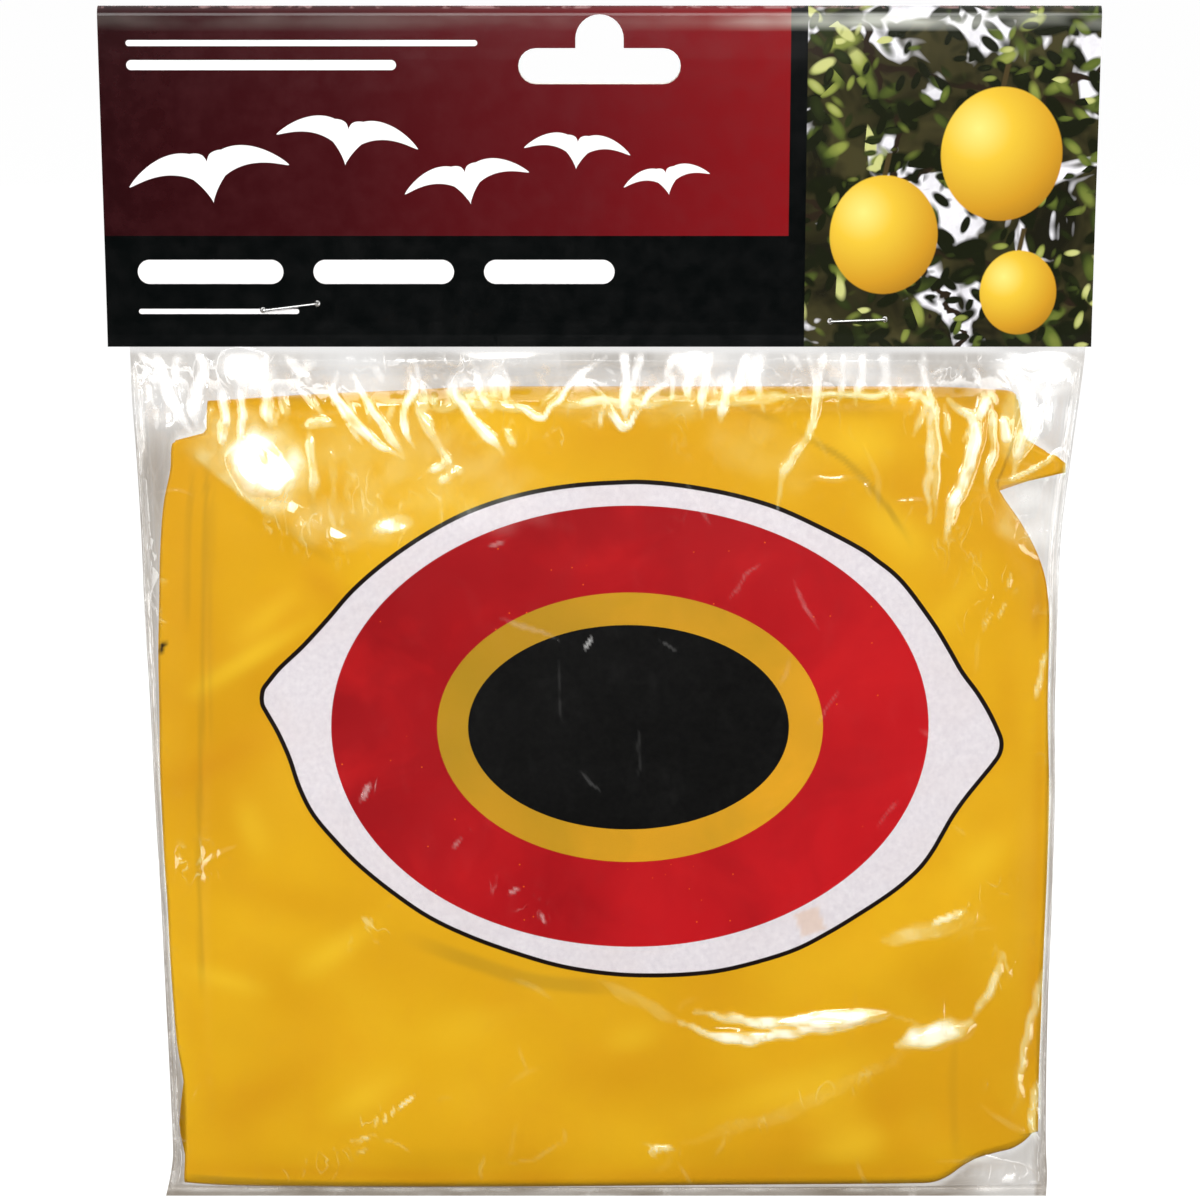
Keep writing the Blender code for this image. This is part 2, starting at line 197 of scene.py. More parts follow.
def grid_object(name, x, y, z, mat, body=None, close=False):
    """A mesh from rows and columns of points in mm."""
    rows, cols = x.shape
    co = np.stack([x, y, z], axis=-1).reshape(-1, 3) * MM
    idx = np.arange(rows * cols).reshape(rows, cols)
    f = np.stack([idx[:-1, :-1], idx[:-1, 1:], idx[1:, 1:], idx[1:, :-1]], axis=-1).reshape(-1, 4)
    mesh = bpy.data.meshes.new(name)
    mesh.from_pydata(co.tolist(), [], f.tolist())
    mesh.shade_smooth()
    obj = bpy.data.objects.new(name, mesh)
    scene.collection.objects.link(obj)
    obj.data.materials.append(mat)
    if body:
        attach(obj, body)
    return obj


# ---------------------------------------------------------------- materials
class S:
    """A value in a material. Arithmetic on it adds math nodes."""

    tree = None

    def __init__(self, sock):
        self.s = sock

    def __add__(self, o): return calc("ADD", self, o)
    def __radd__(self, o): return calc("ADD", o, self)
    def __sub__(self, o): return calc("SUBTRACT", self, o)
    def __rsub__(self, o): return calc("SUBTRACT", o, self)
    def __mul__(self, o): return calc("MULTIPLY", self, o)
    def __rmul__(self, o): return calc("MULTIPLY", o, self)
    def __truediv__(self, o): return calc("DIVIDE", self, o)
    def __rtruediv__(self, o): return calc("DIVIDE", o, self)
    def __neg__(self): return calc("MULTIPLY", self, -1.0)
    def __abs__(self): return calc("ABSOLUTE", self)
    def __pow__(self, o): return calc("POWER", self, o)


def put(sock, v):
    if isinstance(v, S):
        S.tree.links.new(v.s, sock)
    elif isinstance(v, tuple) and len(v) == 3 and sock.type == "RGBA":
        sock.default_value = (*v, 1.0)
    else:
        sock.default_value = v


def calc(op, *args, clamp=False):
    n = S.tree.nodes.new("ShaderNodeMath")
    n.operation, n.use_clamp = op, clamp
    for i, a in enumerate(args):
        put(n.inputs[i], a)
    return S(n.outputs[0])


def lower(a, b): return calc("MINIMUM", a, b)
def upper(a, b): return calc("MAXIMUM", a, b)
def root(a): return calc("SQRT", a)
def more(a, b): return calc("GREATER_THAN", a, b)
def less(a, b): return calc("LESS_THAN", a, b)
def soft(a, lo, hi):
    """0 at lo to 1 at hi."""
    return calc("MULTIPLY", (a - lo), 1.0 / (hi - lo), clamp=True)


def inside(d, width=0.12):
    """1 where a distance is below 0."""
    return calc("MULTIPLY_ADD", d, -1.0 / width, 0.5, clamp=True)


def mix(f, a, b):
    n = S.tree.nodes.new("ShaderNodeMix")
    n.data_type = "RGBA"
    put(n.inputs[0], f)
    put(n.inputs[6], a)
    put(n.inputs[7], b)
    return S(n.outputs[2])


def rgb(r, g, b):
    """A colour from 0 to 255 values as they look on a screen."""
    f = lambda c: (c / 255 / 12.92) if c <= 10 else ((c / 255 + 0.055) / 1.055) ** 2.4
    return (f(r), f(g), f(b))


def new_material(name):
    m = bpy.data.materials.new(name)
    m.use_nodes = True
    t = m.node_tree
    t.nodes.clear()
    S.tree = t
    out = t.nodes.new("ShaderNodeOutputMaterial")
    return m, t, out


def coords():
    """Object coordinates in mm, and the raw vector in metres."""
    c = S.tree.nodes.new("ShaderNodeTexCoord")
    s = S.tree.nodes.new("ShaderNodeSeparateXYZ")
    S.tree.links.new(c.outputs["Object"], s.inputs[0])
    return S(s.outputs[0]) * 1000.0, S(s.outputs[1]) * 1000.0, S(s.outputs[2]) * 1000.0, S(c.outputs["Object"])


def face_normal():
    g = S.tree.nodes.new("ShaderNodeNewGeometry")
    s = S.tree.nodes.new("ShaderNodeSeparateXYZ")
    S.tree.links.new(g.outputs["True Normal"], s.inputs[0])
    return S(s.outputs[0]), S(s.outputs[1]), S(s.outputs[2])


def stretch(vec, sx, sy, sz):
    n = S.tree.nodes.new("ShaderNodeMapping")
    S.tree.links.new(vec.s, n.inputs["Vector"])
    n.inputs["Scale"].default_value = (sx, sy, sz)
    return S(n.outputs[0])


def noise(vec, scale, detail=3.0, rough=0.5, twist=0.0):
    n = S.tree.nodes.new("ShaderNodeTexNoise")
    S.tree.links.new(vec.s, n.inputs["Vector"])
    n.inputs["Scale"].default_value = scale
    n.inputs["Detail"].default_value = detail
    n.inputs["Roughness"].default_value = rough
    n.inputs["Distortion"].default_value = twist
    return S(n.outputs[0])


def cells(vec, scale, feature="F1", out="Distance", rand=1.0):
    n = S.tree.nodes.new("ShaderNodeTexVoronoi")
    n.feature = feature
    S.tree.links.new(vec.s, n.inputs["Vector"])
    n.inputs["Scale"].default_value = scale
    n.inputs["Randomness"].default_value = rand
    return S(n.outputs[out])


def ramp(f, *stops):
    n = S.tree.nodes.new("ShaderNodeValToRGB")
    e = n.color_ramp.elements
    while len(e) < len(stops):
        e.new(0.5)
    for el, (p, c) in zip(e, stops):
        el.position, el.color = p, (*c, 1.0)
    put(n.inputs[0], f)
    return S(n.outputs[0])


def bump(height, strength, distance, below=None):
    n = S.tree.nodes.new("ShaderNodeBump")
    put(n.inputs["Strength"], strength)
    n.inputs["Distance"].default_value = distance
    put(n.inputs["Height"], height)
    if below is not None:
        S.tree.links.new(below.s, n.inputs["Normal"])
    return S(n.outputs[0])


def principled(out, **sockets):
    n = S.tree.nodes.new("ShaderNodeBsdfPrincipled")
    for k, v in sockets.items():
        put(n.inputs[k.replace("_", " ")], v)
    S.tree.links.new(n.outputs[0], out.inputs[0])
    return n


# ---- the vinyl, plain and with the eye
EYE_OUTLINE = [(261, 700), (262.5, 691), (268, 683), (280, 668.5), (303, 646.5), (327, 620), (353, 590), (387, 560.5), (430, 531.5),
               (473, 510), (520, 495), (570, 486), (620, 482.5), (650, 482.5), (687, 486.5), (733, 495), (777, 508), (818, 526.5),
               (860, 548.8), (878, 561.5), (894, 574), (908, 589), (925, 612), (938, 631), (951, 653), (963, 674), (978, 694.5),
               (989.5, 713.5), (998, 731), (1002.6, 744), (1001, 756), (994, 766.5), (981, 782), (966, 800), (953, 818), (943, 835),
               (933, 852), (921, 868), (905, 883), (888, 896), (862, 913), (827, 934), (790, 952), (733, 968), (690, 974),
               (640, 975.5), (600, 973), (560, 966.5), (520, 955), (473, 938), (430, 917.5), (393, 892.5), (360, 866), (336, 842),
               (313, 815), (299, 788), (289, 759), (278, 735), (267, 716), (262, 707)]


def outline_distance(x, z, pts):
    """Distance in mm from a closed outline; below 0 inside it."""
    p = smooth_path(list(pts) + [pts[0]], 5)
    best, odd = np.full(x.shape, 1e9), np.zeros(x.shape, bool)
    for (ax, az), (bx, bz) in zip(p[:-1], p[1:]):
        dx, dz = bx - ax, bz - az
        t = np.clip(((x - ax) * dx + (z - az) * dz) / (dx * dx + dz * dz + 1e-12), 0, 1)
        best = np.minimum(best, np.hypot(x - ax - t * dx, z - az - t * dz))
        cross = (az > z) != (bz > z)
        odd ^= cross & (x < ax + (z - az) * dx / (dz if abs(dz) > 1e-12 else 1e-12))
    return np.where(odd, -best, best)


def ellipse_distance(x, z, u0, u1, v0, v1):
    """About the distance in mm from an ellipse that spans u0 to u1 and v0 to v1 of the picture; below 0 inside it."""
    cu, cv = (u0 + u1) / 2, (v0 + v1) / 2
    a = (at(u1, cv, -5.2)[0] - at(u0, cv, -5.2)[0]) / 2
    b = (at(cu, v0, -5.2)[1] - at(cu, v1, -5.2)[1]) / 2
    cx, cz = at(cu, cv, -5.2)
    return (np.sqrt(((x - cx) / a) ** 2 + ((z - cz) / b) ** 2) - 1) * (a + b) / 2


def stroke(x, z, pts, width, ends=0.2):
    """1 on a line through places in the picture, fading over its width in mm and towards its ends."""
    m, d, _, along = trace(x, z, smooth_path([at(u, v, -5.0) for u, v in pts]), 2 * width)
    out = np.zeros_like(x)
    out[m] = (1 - step(0.35, 1.0, d / width)) * step(0, ends, np.minimum(along, 1 - along) + 0.02)
    return out


def eye_marks(x, z, front):
    """What is printed on the front gore, as values at its points; front is 1 where the gore faces forward."""
    far = 60.0 * (1 - front)
    # faint olive lines: eye outlines showing through from the layers behind, and painted shade along the folds and the
    # left, right and bottom edges
    show_through_and_painted_shade = np.maximum.reduce([
        0.9 * stroke(x, z, ((787, 425), (813, 441), (847, 462), (877, 495), (900, 526), (914, 552)), 0.9, 0.3),
        0.5 * stroke(x, z, ((700, 402), (745, 408), (790, 426)), 1.2, 0.3),
        0.7 * stroke(x, z, ((400, 934), (473, 962), (540, 982), (640, 990)), 2.2, 0.3),
        0.6 * stroke(x, z, ((206, 446), (204, 560), (201, 700), (198, 850), (201, 1000)), 0.8, 0.1),
        0.45 * stroke(x, z, ((192, 462), (187, 540), (186, 640)), 0.8, 0.2),
        0.3 * stroke(x, z, ((213, 470), (210, 640), (211, 760)), 0.7, 0.2),
        0.25 * stroke(x, z, ((168, 440), (230, 486), (290, 530), (345, 572)), 1.2, 0.2),
        0.8 * stroke(x, z, ((186, 1182), (300, 1186), (500, 1188), (750, 1187), (940, 1185)), 1.1, 0.05),
        0.3 * stroke(x, z, ((957, 1020), (953, 1090), (958, 1176)), 1.2, 0.3),
        0.25 * stroke(x, z, ((1012, 500), (1030, 540), (1040, 590), (1036, 650)), 1.2, 0.3),
        0.25 * stroke(x, z, ((310, 470), (312, 520)), 1.0, 0.3)])
    # painted shade (below 0) and painted highlights (above 0) in soft darker and lighter places
    tone = np.zeros_like(x)
    for a, b, w, t in (((165, 792), (258, 740), 5.0, -0.7), ((200, 886), (352, 912), 7.0, -0.5), ((205, 1132), (312, 1066), 8.0, -0.6),
                       ((300, 566), (352, 612), 6.0, -0.8), ((190, 1010), (210, 1110), 5.0, -0.4), ((225, 440), (280, 420), 6.0, -0.3),
                       ((420, 440), (520, 470), 9.0, -0.5), ((1010, 504), (1030, 540), 2.6, -0.9), ((1030, 540), (1045, 574), 2.6, -0.9),
                       ((1045, 574), (1043, 626), 2.6, -0.7), ((1034, 598), (1040, 646), 2.2, -0.5), ((1043, 660), (1040, 900), 2.4, -0.6),
                       ((1039, 900), (1033, 1100), 2.8, -0.7), ((186, 1172), (560, 1180), 3.0, -0.7), ((500, 1180), (980, 1172), 3.0, -0.7), ((560, 1090), (700, 1060), 9.0, -0.3), ((1000, 640), (1016, 760), 5.0, -0.5),
                       ((880, 1080), (900, 1170), 6.0, -0.35), ((770, 430), (720, 410), 6.0, -0.4), ((460, 1130), (560, 1170), 9.0, -0.4),
                       ((194, 694), (312, 620), 3.2, 0.8), ((186, 972), (262, 992), 3.4, 0.6), ((300, 975), (374, 922), 4.5, 0.7),
                       ((240, 640), (300, 590), 4.0, 0.5), ((700, 1120), (880, 1060), 7.0, 0.6), ((800, 1170), (920, 1120), 7.0, 0.5),
                       ((860, 500), (930, 560), 7.0, 0.8), ((830, 440), (900, 450), 8.0, 0.8), ((600, 1050), (660, 1030), 6.0, 0.5),
                       ((960, 880), (1010, 840), 6.0, 0.5), ((420, 1040), (520, 1010), 7.0, 0.4), ((330, 1120), (400, 1075), 5.0, 0.5),
                       ((930, 640), (990, 560), 5.0, 0.4), ((240, 800), (262, 860), 5.0, 0.5)):
        m, d, _, along = trace(x, z, smooth_path([at(*a), at(*b)], 3), 2 * w)
        tone[m] += t * np.exp(-(d / w * 1.6) ** 2) * (0.35 + 0.65 * np.sin(math.pi * along))
    tone = np.clip(tone + 0.14 * waves(x, z, 12.0, 91), -1, 1)
    cx, cz = at(630, 729, -5.2)
    # painted shade across the eye: darker towards the upper left, lighter towards the lower right
    painted_shade_sweep = np.clip(0.5 + ((x - cx) * 0.8 - (z - cz) * 0.6) / 110.0 + 0.12 * waves(x, z, 14.0, 92), 0, 1)
    px, pz = at(810, 922, -5.2)
    patch = np.maximum(np.abs((x - px) * 0.94 + (z - pz) * 0.34) - 2.5, np.abs((z - pz) * 0.94 - (x - px) * 0.34) - 2.6)
    return {"eye": outline_distance(x, z, [at(u, v, -5.2) for u, v in EYE_OUTLINE]) + far,
            "red": ellipse_distance(x, z, 331, 929, 509, 950) + far,
            "ring": ellipse_distance(x, z, 437, 823, 594, 863) + far,
            "pupil": ellipse_distance(x, z, 468, 789, 626, 830) + far,
            "show_through_and_painted_shade": show_through_and_painted_shade * front,
            "tone": tone * front,
            "painted_shade_sweep": painted_shade_sweep * front + 0.5 * (1 - front),
            "dash": stroke(x, z, ((158, 659), (160, 651), (165, 643)), 0.75, 0.35) * front,
            "spot": np.clip(0.5 - patch / 0.5, 0, 1) * front}


def named(name):
    n = S.tree.nodes.new("ShaderNodeAttribute")
    n.attribute_name = name
    return S(n.outputs["Fac"])


def vinyl(name, eye=False):
    mat, tree, out = new_material(name)
    x, y, z, vec = coords()
    broad = noise(vec, 15.0, 2.0, 0.5, 0.3)
    patchy = noise(vec, 75.0, 3.0, 0.55, 0.4)
    col = mix(soft(broad, 0.34, 0.66), rgb(218, 161, 24), rgb(236, 184, 31))
    col = mix(soft(patchy, 0.45, 0.8) * 0.3, col, rgb(224, 160, 24))
    if eye:
        d = named("eye")
        ink = noise(vec, 900.0, 2.0, 0.6)
        # painted shade and painted highlights from the tone marks
        col = mix(calc("MULTIPLY", named("tone"), -0.6, clamp=True), col, rgb(208, 142, 18))
        col = mix(calc("MULTIPLY", named("tone"), 0.6, clamp=True), col, rgb(252, 212, 52))
        # olive lines: outlines showing through, and painted shade along folds and edges
        col = mix(named("show_through_and_painted_shade") * 0.42, col, rgb(140, 116, 40))
        white = mix(soft(ink, 0.3, 0.75), rgb(222, 216, 222), rgb(236, 231, 235))
        white = mix(soft(patchy, 0.4, 0.8) * 0.4, white, rgb(226, 214, 214))
        painted_shade_sweep = named("painted_shade_sweep")
        cloud = noise(vec, 48.0, 4.0, 0.6, 0.6)
        # the red and the ring are darker towards the upper left: painted shade
        red = mix(painted_shade_sweep, rgb(158, 20, 26), rgb(197, 26, 33))
        red = mix(soft(cloud, 0.5, 0.75) * 0.4, red, rgb(150, 16, 24))
        red = mix(soft(cloud, 0.48, 0.25) * 0.4, red, rgb(214, 34, 36))
        speck = cells(vec, 260.0, "F1", "Distance")
        red = mix(less(speck, 0.045), red, rgb(232, 92, 30))
        ring = mix(painted_shade_sweep, rgb(168, 132, 34), rgb(238, 172, 38))
        ring = mix(soft(cloud, 0.45, 0.7) * 0.35, ring, rgb(176, 142, 32))
        black = mix(soft(ink, 0.3, 0.8), rgb(8, 8, 8), rgb(17, 17, 16))
        col = mix(inside(d - 0.46), col, rgb(24, 15, 12))
        col = mix(inside(d + 0.46), col, white)
        col = mix(inside(named("red")), col, red)
        col = mix(inside(named("ring")), col, ring)
        col = mix(inside(named("pupil")), col, black)
        col = mix(named("spot") * 0.5, col, rgb(226, 190, 160))
        col = mix(named("dash"), col, rgb(20, 17, 15))
    wide = noise(vec, 34.0, 2.0, 0.5, 0.5)
    normal = bump(wide + noise(vec, 210.0, 3.0, 0.55) * 0.06, 0.25, 0.0016)
    p = principled(out, Base_Color=col, Roughness=calc("MULTIPLY_ADD", patchy, 0.16, 0.30), Normal=normal)
    p.inputs["Specular IOR Level"].default_value = 0.14
    return mat


VINYL_EYE = vinyl("vinyl_with_eye", True)
VINYL = vinyl("vinyl_plain")


def patch_material():
    mat, tree, out = new_material("patch_vinyl_look")
    x, y, z, vec = coords()
    col = mix(soft(noise(vec, 60.0, 3.0, 0.5), 0.35, 0.7), rgb(222, 150, 16), rgb(238, 170, 24))
    welds = calc("SINE", calc("MULTIPLY", x + z, 3.4)) * calc("SINE", calc("MULTIPLY", x - z, 3.4))
    n1 = bump(welds, 0.5, 0.00008)
    n2 = bump(noise(vec, 120.0, 3.0, 0.5), 0.2, 0.0004, n1)
    principled(out, Base_Color=col, Roughness=calc("MULTIPLY_ADD", noise(vec, 90.0), 0.2, 0.24), Normal=n2)
    return mat


def pvc_material():
    mat, tree, out = new_material("valve_pvc_look")
    x, y, z, vec = coords()
    col = mix(soft(noise(vec, 90.0, 3.0, 0.5), 0.3, 0.7), rgb(226, 222, 206), rgb(240, 237, 226))
    p = principled(out, Base_Color=col, Roughness=calc("MULTIPLY_ADD", noise(vec, 200.0), 0.18, 0.12),
                   Normal=bump(noise(vec, 260.0, 3.0, 0.5), 0.15, 0.0002))
    p.inputs["Subsurface Weight"].default_value = 0.25
    p.inputs["Subsurface Radius"].default_value = (0.002, 0.002, 0.0015)
    return mat


def paper_material():
    mat, tree, out = new_material("backing_paper_look")
    x, y, z, vec = coords()
    fibre = noise(stretch(vec, 1.0, 1.0, 3.0), 900.0, 3.0, 0.6)
    col = mix(soft(fibre, 0.3, 0.7), rgb(226, 224, 212), rgb(240, 238, 230))
    rule = inside(abs(calc("WRAP", x + 0.0, 3.0, -3.0)) - 0.12) * 0.25
    col = mix(rule, col, rgb(170, 190, 200))
    principled(out, Base_Color=col, Roughness=calc("MULTIPLY_ADD", fibre, 0.2, 0.42), Normal=bump(fibre, 0.1, 0.0001))
    return mat


def foil_material():
    mat, tree, out = new_material("reflective_foil_look")
    x, y, z, vec = coords()
    tile = cells(vec, 420.0, "F1", "Color")
    hue = ramp(noise(vec, 55.0, 2.0, 0.5), (0.30, rgb(205, 222, 235)), (0.45, rgb(226, 214, 236)),
               (0.58, rgb(236, 232, 214)), (0.72, rgb(210, 234, 222)))
    col = mix(0.35, hue, tile)
    col = mix(0.62, col, rgb(224, 226, 230))
    lines = calc("SINE", calc("MULTIPLY", x + z, 5.0)) * calc("SINE", calc("MULTIPLY", x - z, 5.0))
    principled(out, Base_Color=col, Metallic=1.0, Roughness=calc("MULTIPLY_ADD", noise(vec, 150.0), 0.12, 0.08),
               Normal=bump(lines, 0.25, 0.0001))
    return mat


def steel_material():
    mat, tree, out = new_material("staple_wire_look")
    x, y, z, vec = coords()
    drawn = noise(stretch(vec, 0.15, 1.0, 1.0), 4200.0, 3.0, 0.6)
    col = mix(soft(drawn, 0.3, 0.7), rgb(188, 188, 186), rgb(226, 226, 224))
    principled(out, Base_Color=col, Metallic=1.0, Roughness=calc("MULTIPLY_ADD", drawn, 0.2, 0.18),
               Normal=bump(drawn, 0.1, 0.00005))
    return mat


def film_material():
    """Thin clear film: it reflects a little at every angle and greys what is behind it. It is darkened with painted
    shade beside and below the ball, and painted white where it is creased, partly as stress whitening and partly as
    painted highlights and glints.
    """
    mat, tree, out = new_material("clear_film_look")
    x, y, z, vec = coords()
    marks, painted_shade, crumple = named("film_whitening_and_highlight"), named("painted_shade"), named("crumple")
    over, dull = named("over"), named("dull")
    grain = noise(stretch(vec, 1.0, 1.0, 0.6), 230.0, 3.0, 0.6, 0.6)
    # thin curved white lines where the film is finely crumpled: painted glints
    lines = noise(stretch(vec, 1.0, 1.0, 0.5), 190.0, 2.0, 0.5, 0.8)
    painted_glint_lines = calc("MULTIPLY", 1.0 - abs(lines - 0.5) * 34.0, soft(grain, 0.46, 0.6), clamp=True)
    facet = cells(stretch(vec, 1.0, 1.0, 0.6), 330.0, "DISTANCE_TO_EDGE", "Distance")
    normal = bump(grain, 0.10, 0.0003, bump(facet, crumple, 0.0009))
    clear = tree.nodes.new("ShaderNodeBsdfTransparent")
    # painted shade: the film's colour goes darker and browner, in streaks, beside and below the ball and in the neck
    streaks = noise(mix(less(z, -236.5), stretch(vec, 1.0, 1.0, 0.22), stretch(vec, 0.16, 1.0, 1.0)), 260.0, 3.0, 0.6, 0.8)
    tone = mix(calc("MULTIPLY", painted_shade, calc("MULTIPLY_ADD", soft(streaks, 0.15, 0.8), 0.6, 0.4), clamp=True), (0.93, 0.925, 0.918),
               (0.46, 0.415, 0.36))
    # the painted white: whitened creases and painted highlights, plus painted glint lines where the film is crumpled
    amount = calc("ADD", calc("MULTIPLY", marks, soft(grain, 0.1, 0.45)), painted_glint_lines * crumple * 0.55, clamp=True)
    amount = calc("ADD", amount, soft(grain, 0.55, 0.9) * 0.006, clamp=True)
    tree.links.new(mix(amount * 0.5, tone, (0.0, 0.0, 0.0)).s, clear.inputs[0])
    gloss = tree.nodes.new("ShaderNodeBsdfGlossy")
    gloss.inputs["Roughness"].default_value = 0.12
    tree.links.new(normal.s, gloss.inputs["Normal"])
    angle = tree.nodes.new("ShaderNodeLayerWeight")
    angle.inputs["Blend"].default_value = 0.5
    tree.links.new(normal.s, angle.inputs["Normal"])
    facing = S(angle.outputs["Facing"])
    tree.links.new(mix(over * (1.0 - soft(facing, 0.2, 0.6)), (1.0, 1.0, 1.0), (0.90, 1.0, 0.88)).s, gloss.inputs["Color"])
    share = calc("MULTIPLY_ADD", facing ** 4.0, 0.5, 0.075, clamp=True)
    share = share * (1.0 - dull * 0.85)
    # a white diffuse layer that paints the whitened creases and the highlights into the film
    whitening_and_highlight_shader = tree.nodes.new("ShaderNodeBsdfDiffuse")
    # over plain yellow the painted white is tinted yellow-green, as highlights on the yellow look
    pale = mix(over, (0.90, 0.89, 0.865), mix(soft(amount, 0.1, 0.8), (0.66, 0.88, 0.42), (0.76, 0.90, 0.82)))
    tree.links.new(mix(amount, (0.0, 0.0, 0.0), pale).s, whitening_and_highlight_shader.inputs[0])
    a = tree.nodes.new("ShaderNodeAddShader")
    tree.links.new(clear.outputs[0], a.inputs[0])
    tree.links.new(whitening_and_highlight_shader.outputs[0], a.inputs[1])
    b = tree.nodes.new("ShaderNodeMixShader")
    tree.links.new(share.s, b.inputs[0])
    tree.links.new(a.outputs[0], b.inputs[1])
    tree.links.new(gloss.outputs[0], b.inputs[2])
    tree.links.new(b.outputs[0], out.inputs[0])
    return mat


def bird(x, z, cx, cz, s, tilt):
    """A flying bird seen from afar, as a distance; below 0 inside."""
    c, n = math.cos(math.radians(tilt)), math.sin(math.radians(tilt))
    dx, dz = (x - cx) * (1 / s), (z - cz) * (1 / s)
    u, w = dx * c + dz * n, dz * c - dx * n
    a = abs(u)
    arch = root(lower(a, 1.0) + 0.004) * 0.62 - (a * a) * 0.50
    thick = (upper(1.0 - a, 0.0) ** 0.65) * 0.185 + inside(a - 0.12, 0.16) * 0.07
    return upper(abs(w - arch) - thick, a - 1.0) * s


def bar(x, z, x0, x1, z0, z1):
    """A bar with round ends, as a distance."""
    r = (z1 - z0) / 2
    cz = (z0 + z1) / 2
    cx, h = (x0 + x1) / 2, (x1 - x0) / 2 - r
    dx = upper(abs(x - cx) - h, 0.0)
    dz = z - cz
    return root(dx * dx + dz * dz) - r


def disc_d(x, z, cx, cz, r, squeeze=1.0):
    dx, dz = (x - cx) * squeeze, z - cz
    return root(dx * dx + dz * dz) - r


def card_material():
    mat, tree, out = new_material("printed_card_look")
    x, y, z, vec = coords()
    nx, ny, nz = face_normal()
    fold = root(y * y + (z - LOOP_Z) * (z - LOOP_Z))
    over = more(z, LOOP_Z - 0.3) * more(fold, 1.75)
    front = less(y, 0.0)
    facing = more(abs(ny), 0.5)
    outward = more(y * ny, 0.0)
    printed = upper(over, facing * outward)
    core = (1.0 - printed) * (1.0 - facing)

    band_z = at(600, 236, -1.4)[1]
    x_bar, x_pic = at(790, 120, -1.6)[0], at(807, 120, -1.6)[0]
    red = ramp(soft(x, -98.0, x_bar), (0.0, rgb(36, 9, 12)), (0.35, rgb(60, 13, 17)), (0.68, rgb(90, 17, 22)),
               (1.0, rgb(126, 18, 23)))
    grime = noise(vec, 260.0, 3.0, 0.6)
    red = mix(soft(grime, 0.4, 0.9) * 0.16, red, rgb(92, 40, 44))
    black = mix(soft(grime, 0.35, 0.8), rgb(5, 7, 7), rgb(12, 13, 13))
    art = mix(inside(band_z - z), black, red)
    art = mix(inside(x_bar - x), art, black)

    # the picture: twigs and leaves against the sky, with three yellow fruit
    warp = noise(vec, 60.0, 3.0, 0.6, 1.2)
    picture = mix(soft(warp, 0.35, 0.65), rgb(26, 25, 16), rgb(62, 58, 34))
    mass = soft(noise(vec, 34.0, 2.0, 0.5), 0.34, 0.66)
    gaps = soft(noise(vec, 52.0, 3.0, 0.6, 1.0), 0.56, 0.60)
    picture = mix(gaps, picture, mix(soft(grime, 0.3, 0.7), rgb(206, 204, 208), rgb(236, 234, 238)))
    for twig in (abs(z + 20.0 - (x - 70.0) * 0.55 + (warp - 0.5) * 14.0) - 0.9, abs(z + 42.0 + (x - 70.0) * 0.35 + (warp - 0.5) * 12.0) - 0.7,
                 abs(z + 6.0 + (x - 60.0) * 0.2 + (warp - 0.5) * 16.0) - 0.6, abs(x - 62.0 + (z + 30.0) * 0.3 + (warp - 0.5) * 18.0) - 0.8):
        picture = mix(inside(twig, 0.4), picture, rgb(40, 31, 22))
    for turn, size, keep, shift, dim in ((0.3, 80.0, 0.2, 2.6, 0.4), (-1.0, 95.0, 0.2, 3.1, 0.32), (0.5, 125.0, 0.25, 0.0, 0.25),
                                         (-0.7, 150.0, 0.35, 0.4, 0.2), (1.2, 190.0, 0.55, 0.8, 0.12), (-1.3, 110.0, 0.62, 1.3, -0.04),
                                         (0.1, 210.0, 0.72, 1.9, 0.0)):
        c, n = math.cos(turn), math.sin(turn)
        both = S.tree.nodes.new("ShaderNodeCombineXYZ")
        put(both.inputs[0], (x * c + z * n) * 0.001 + shift)
        put(both.inputs[2], (z * c - x * n) * 0.0023)
        leaf_at = S(both.outputs[0])
        d = cells(leaf_at, size, "F1", "Distance", 0.9)
        sep = S.tree.nodes.new("ShaderNodeSeparateColor")
        S.tree.links.new(cells(leaf_at, size, "F1", "Color", 0.9).s, sep.inputs[0])
        pick, tint = S(sep.outputs[0]), S(sep.outputs[1])
        green = ramp(tint - d * 0.5 - dim + (mass - 0.5) * 0.9, (0.0, rgb(24, 27, 14)), (0.3, rgb(44, 52, 24)), (0.55, rgb(84, 96, 40)), (0.75, rgb(132, 140, 66)),
                     (0.95, rgb(186, 188, 120)))
        picture = mix(lower(inside(d - 0.36, 0.12), more(pick, keep)), picture, green)
    for fx, fz, fr in ((56.5, -38.5, 11.8), (79.5, -22.5, 13.2), (83.5, -50.0, 8.4)):
        q = disc_d(x, z, fx, fz, fr, 1.1)
        shade = disc_d(x, z, fx - fr * 0.35, fz + fr * 0.38, 0.0)
        fruit = ramp(soft(shade, 0.0, fr * 1.7), (0.0, rgb(236, 214, 118)), (0.3, rgb(220, 182, 56)),
                     (0.7, rgb(194, 142, 36)), (1.0, rgb(140, 92, 26)))
        stalk = lower(inside(abs(x - fx - (z - fz - fr) * 0.2) - 0.5, 0.3), inside(abs(z - fz - fr - 2.0) - 2.4, 0.3))
        picture = mix(stalk, picture, rgb(70, 58, 34))
        picture = mix(inside(q, 0.3), picture, fruit)
    art = mix(inside(x_pic - x), art, picture)
    # a painted highlight along the rounded fold at the top, strong over the picture and faint over the rest
    painted_fold_sheen = soft(z, 1.4, 3.2) * (1.0 - soft(z, 4.2, 5.4)) * soft(noise(stretch(vec, 0.35, 1.0, 1.0), 160.0, 2.0, 0.5), 0.3, 0.6)
    art = mix(painted_fold_sheen * calc("MULTIPLY_ADD", soft(x, x_pic - 20.0, x_pic + 6.0), 0.5, 0.06), art, rgb(222, 224, 212))

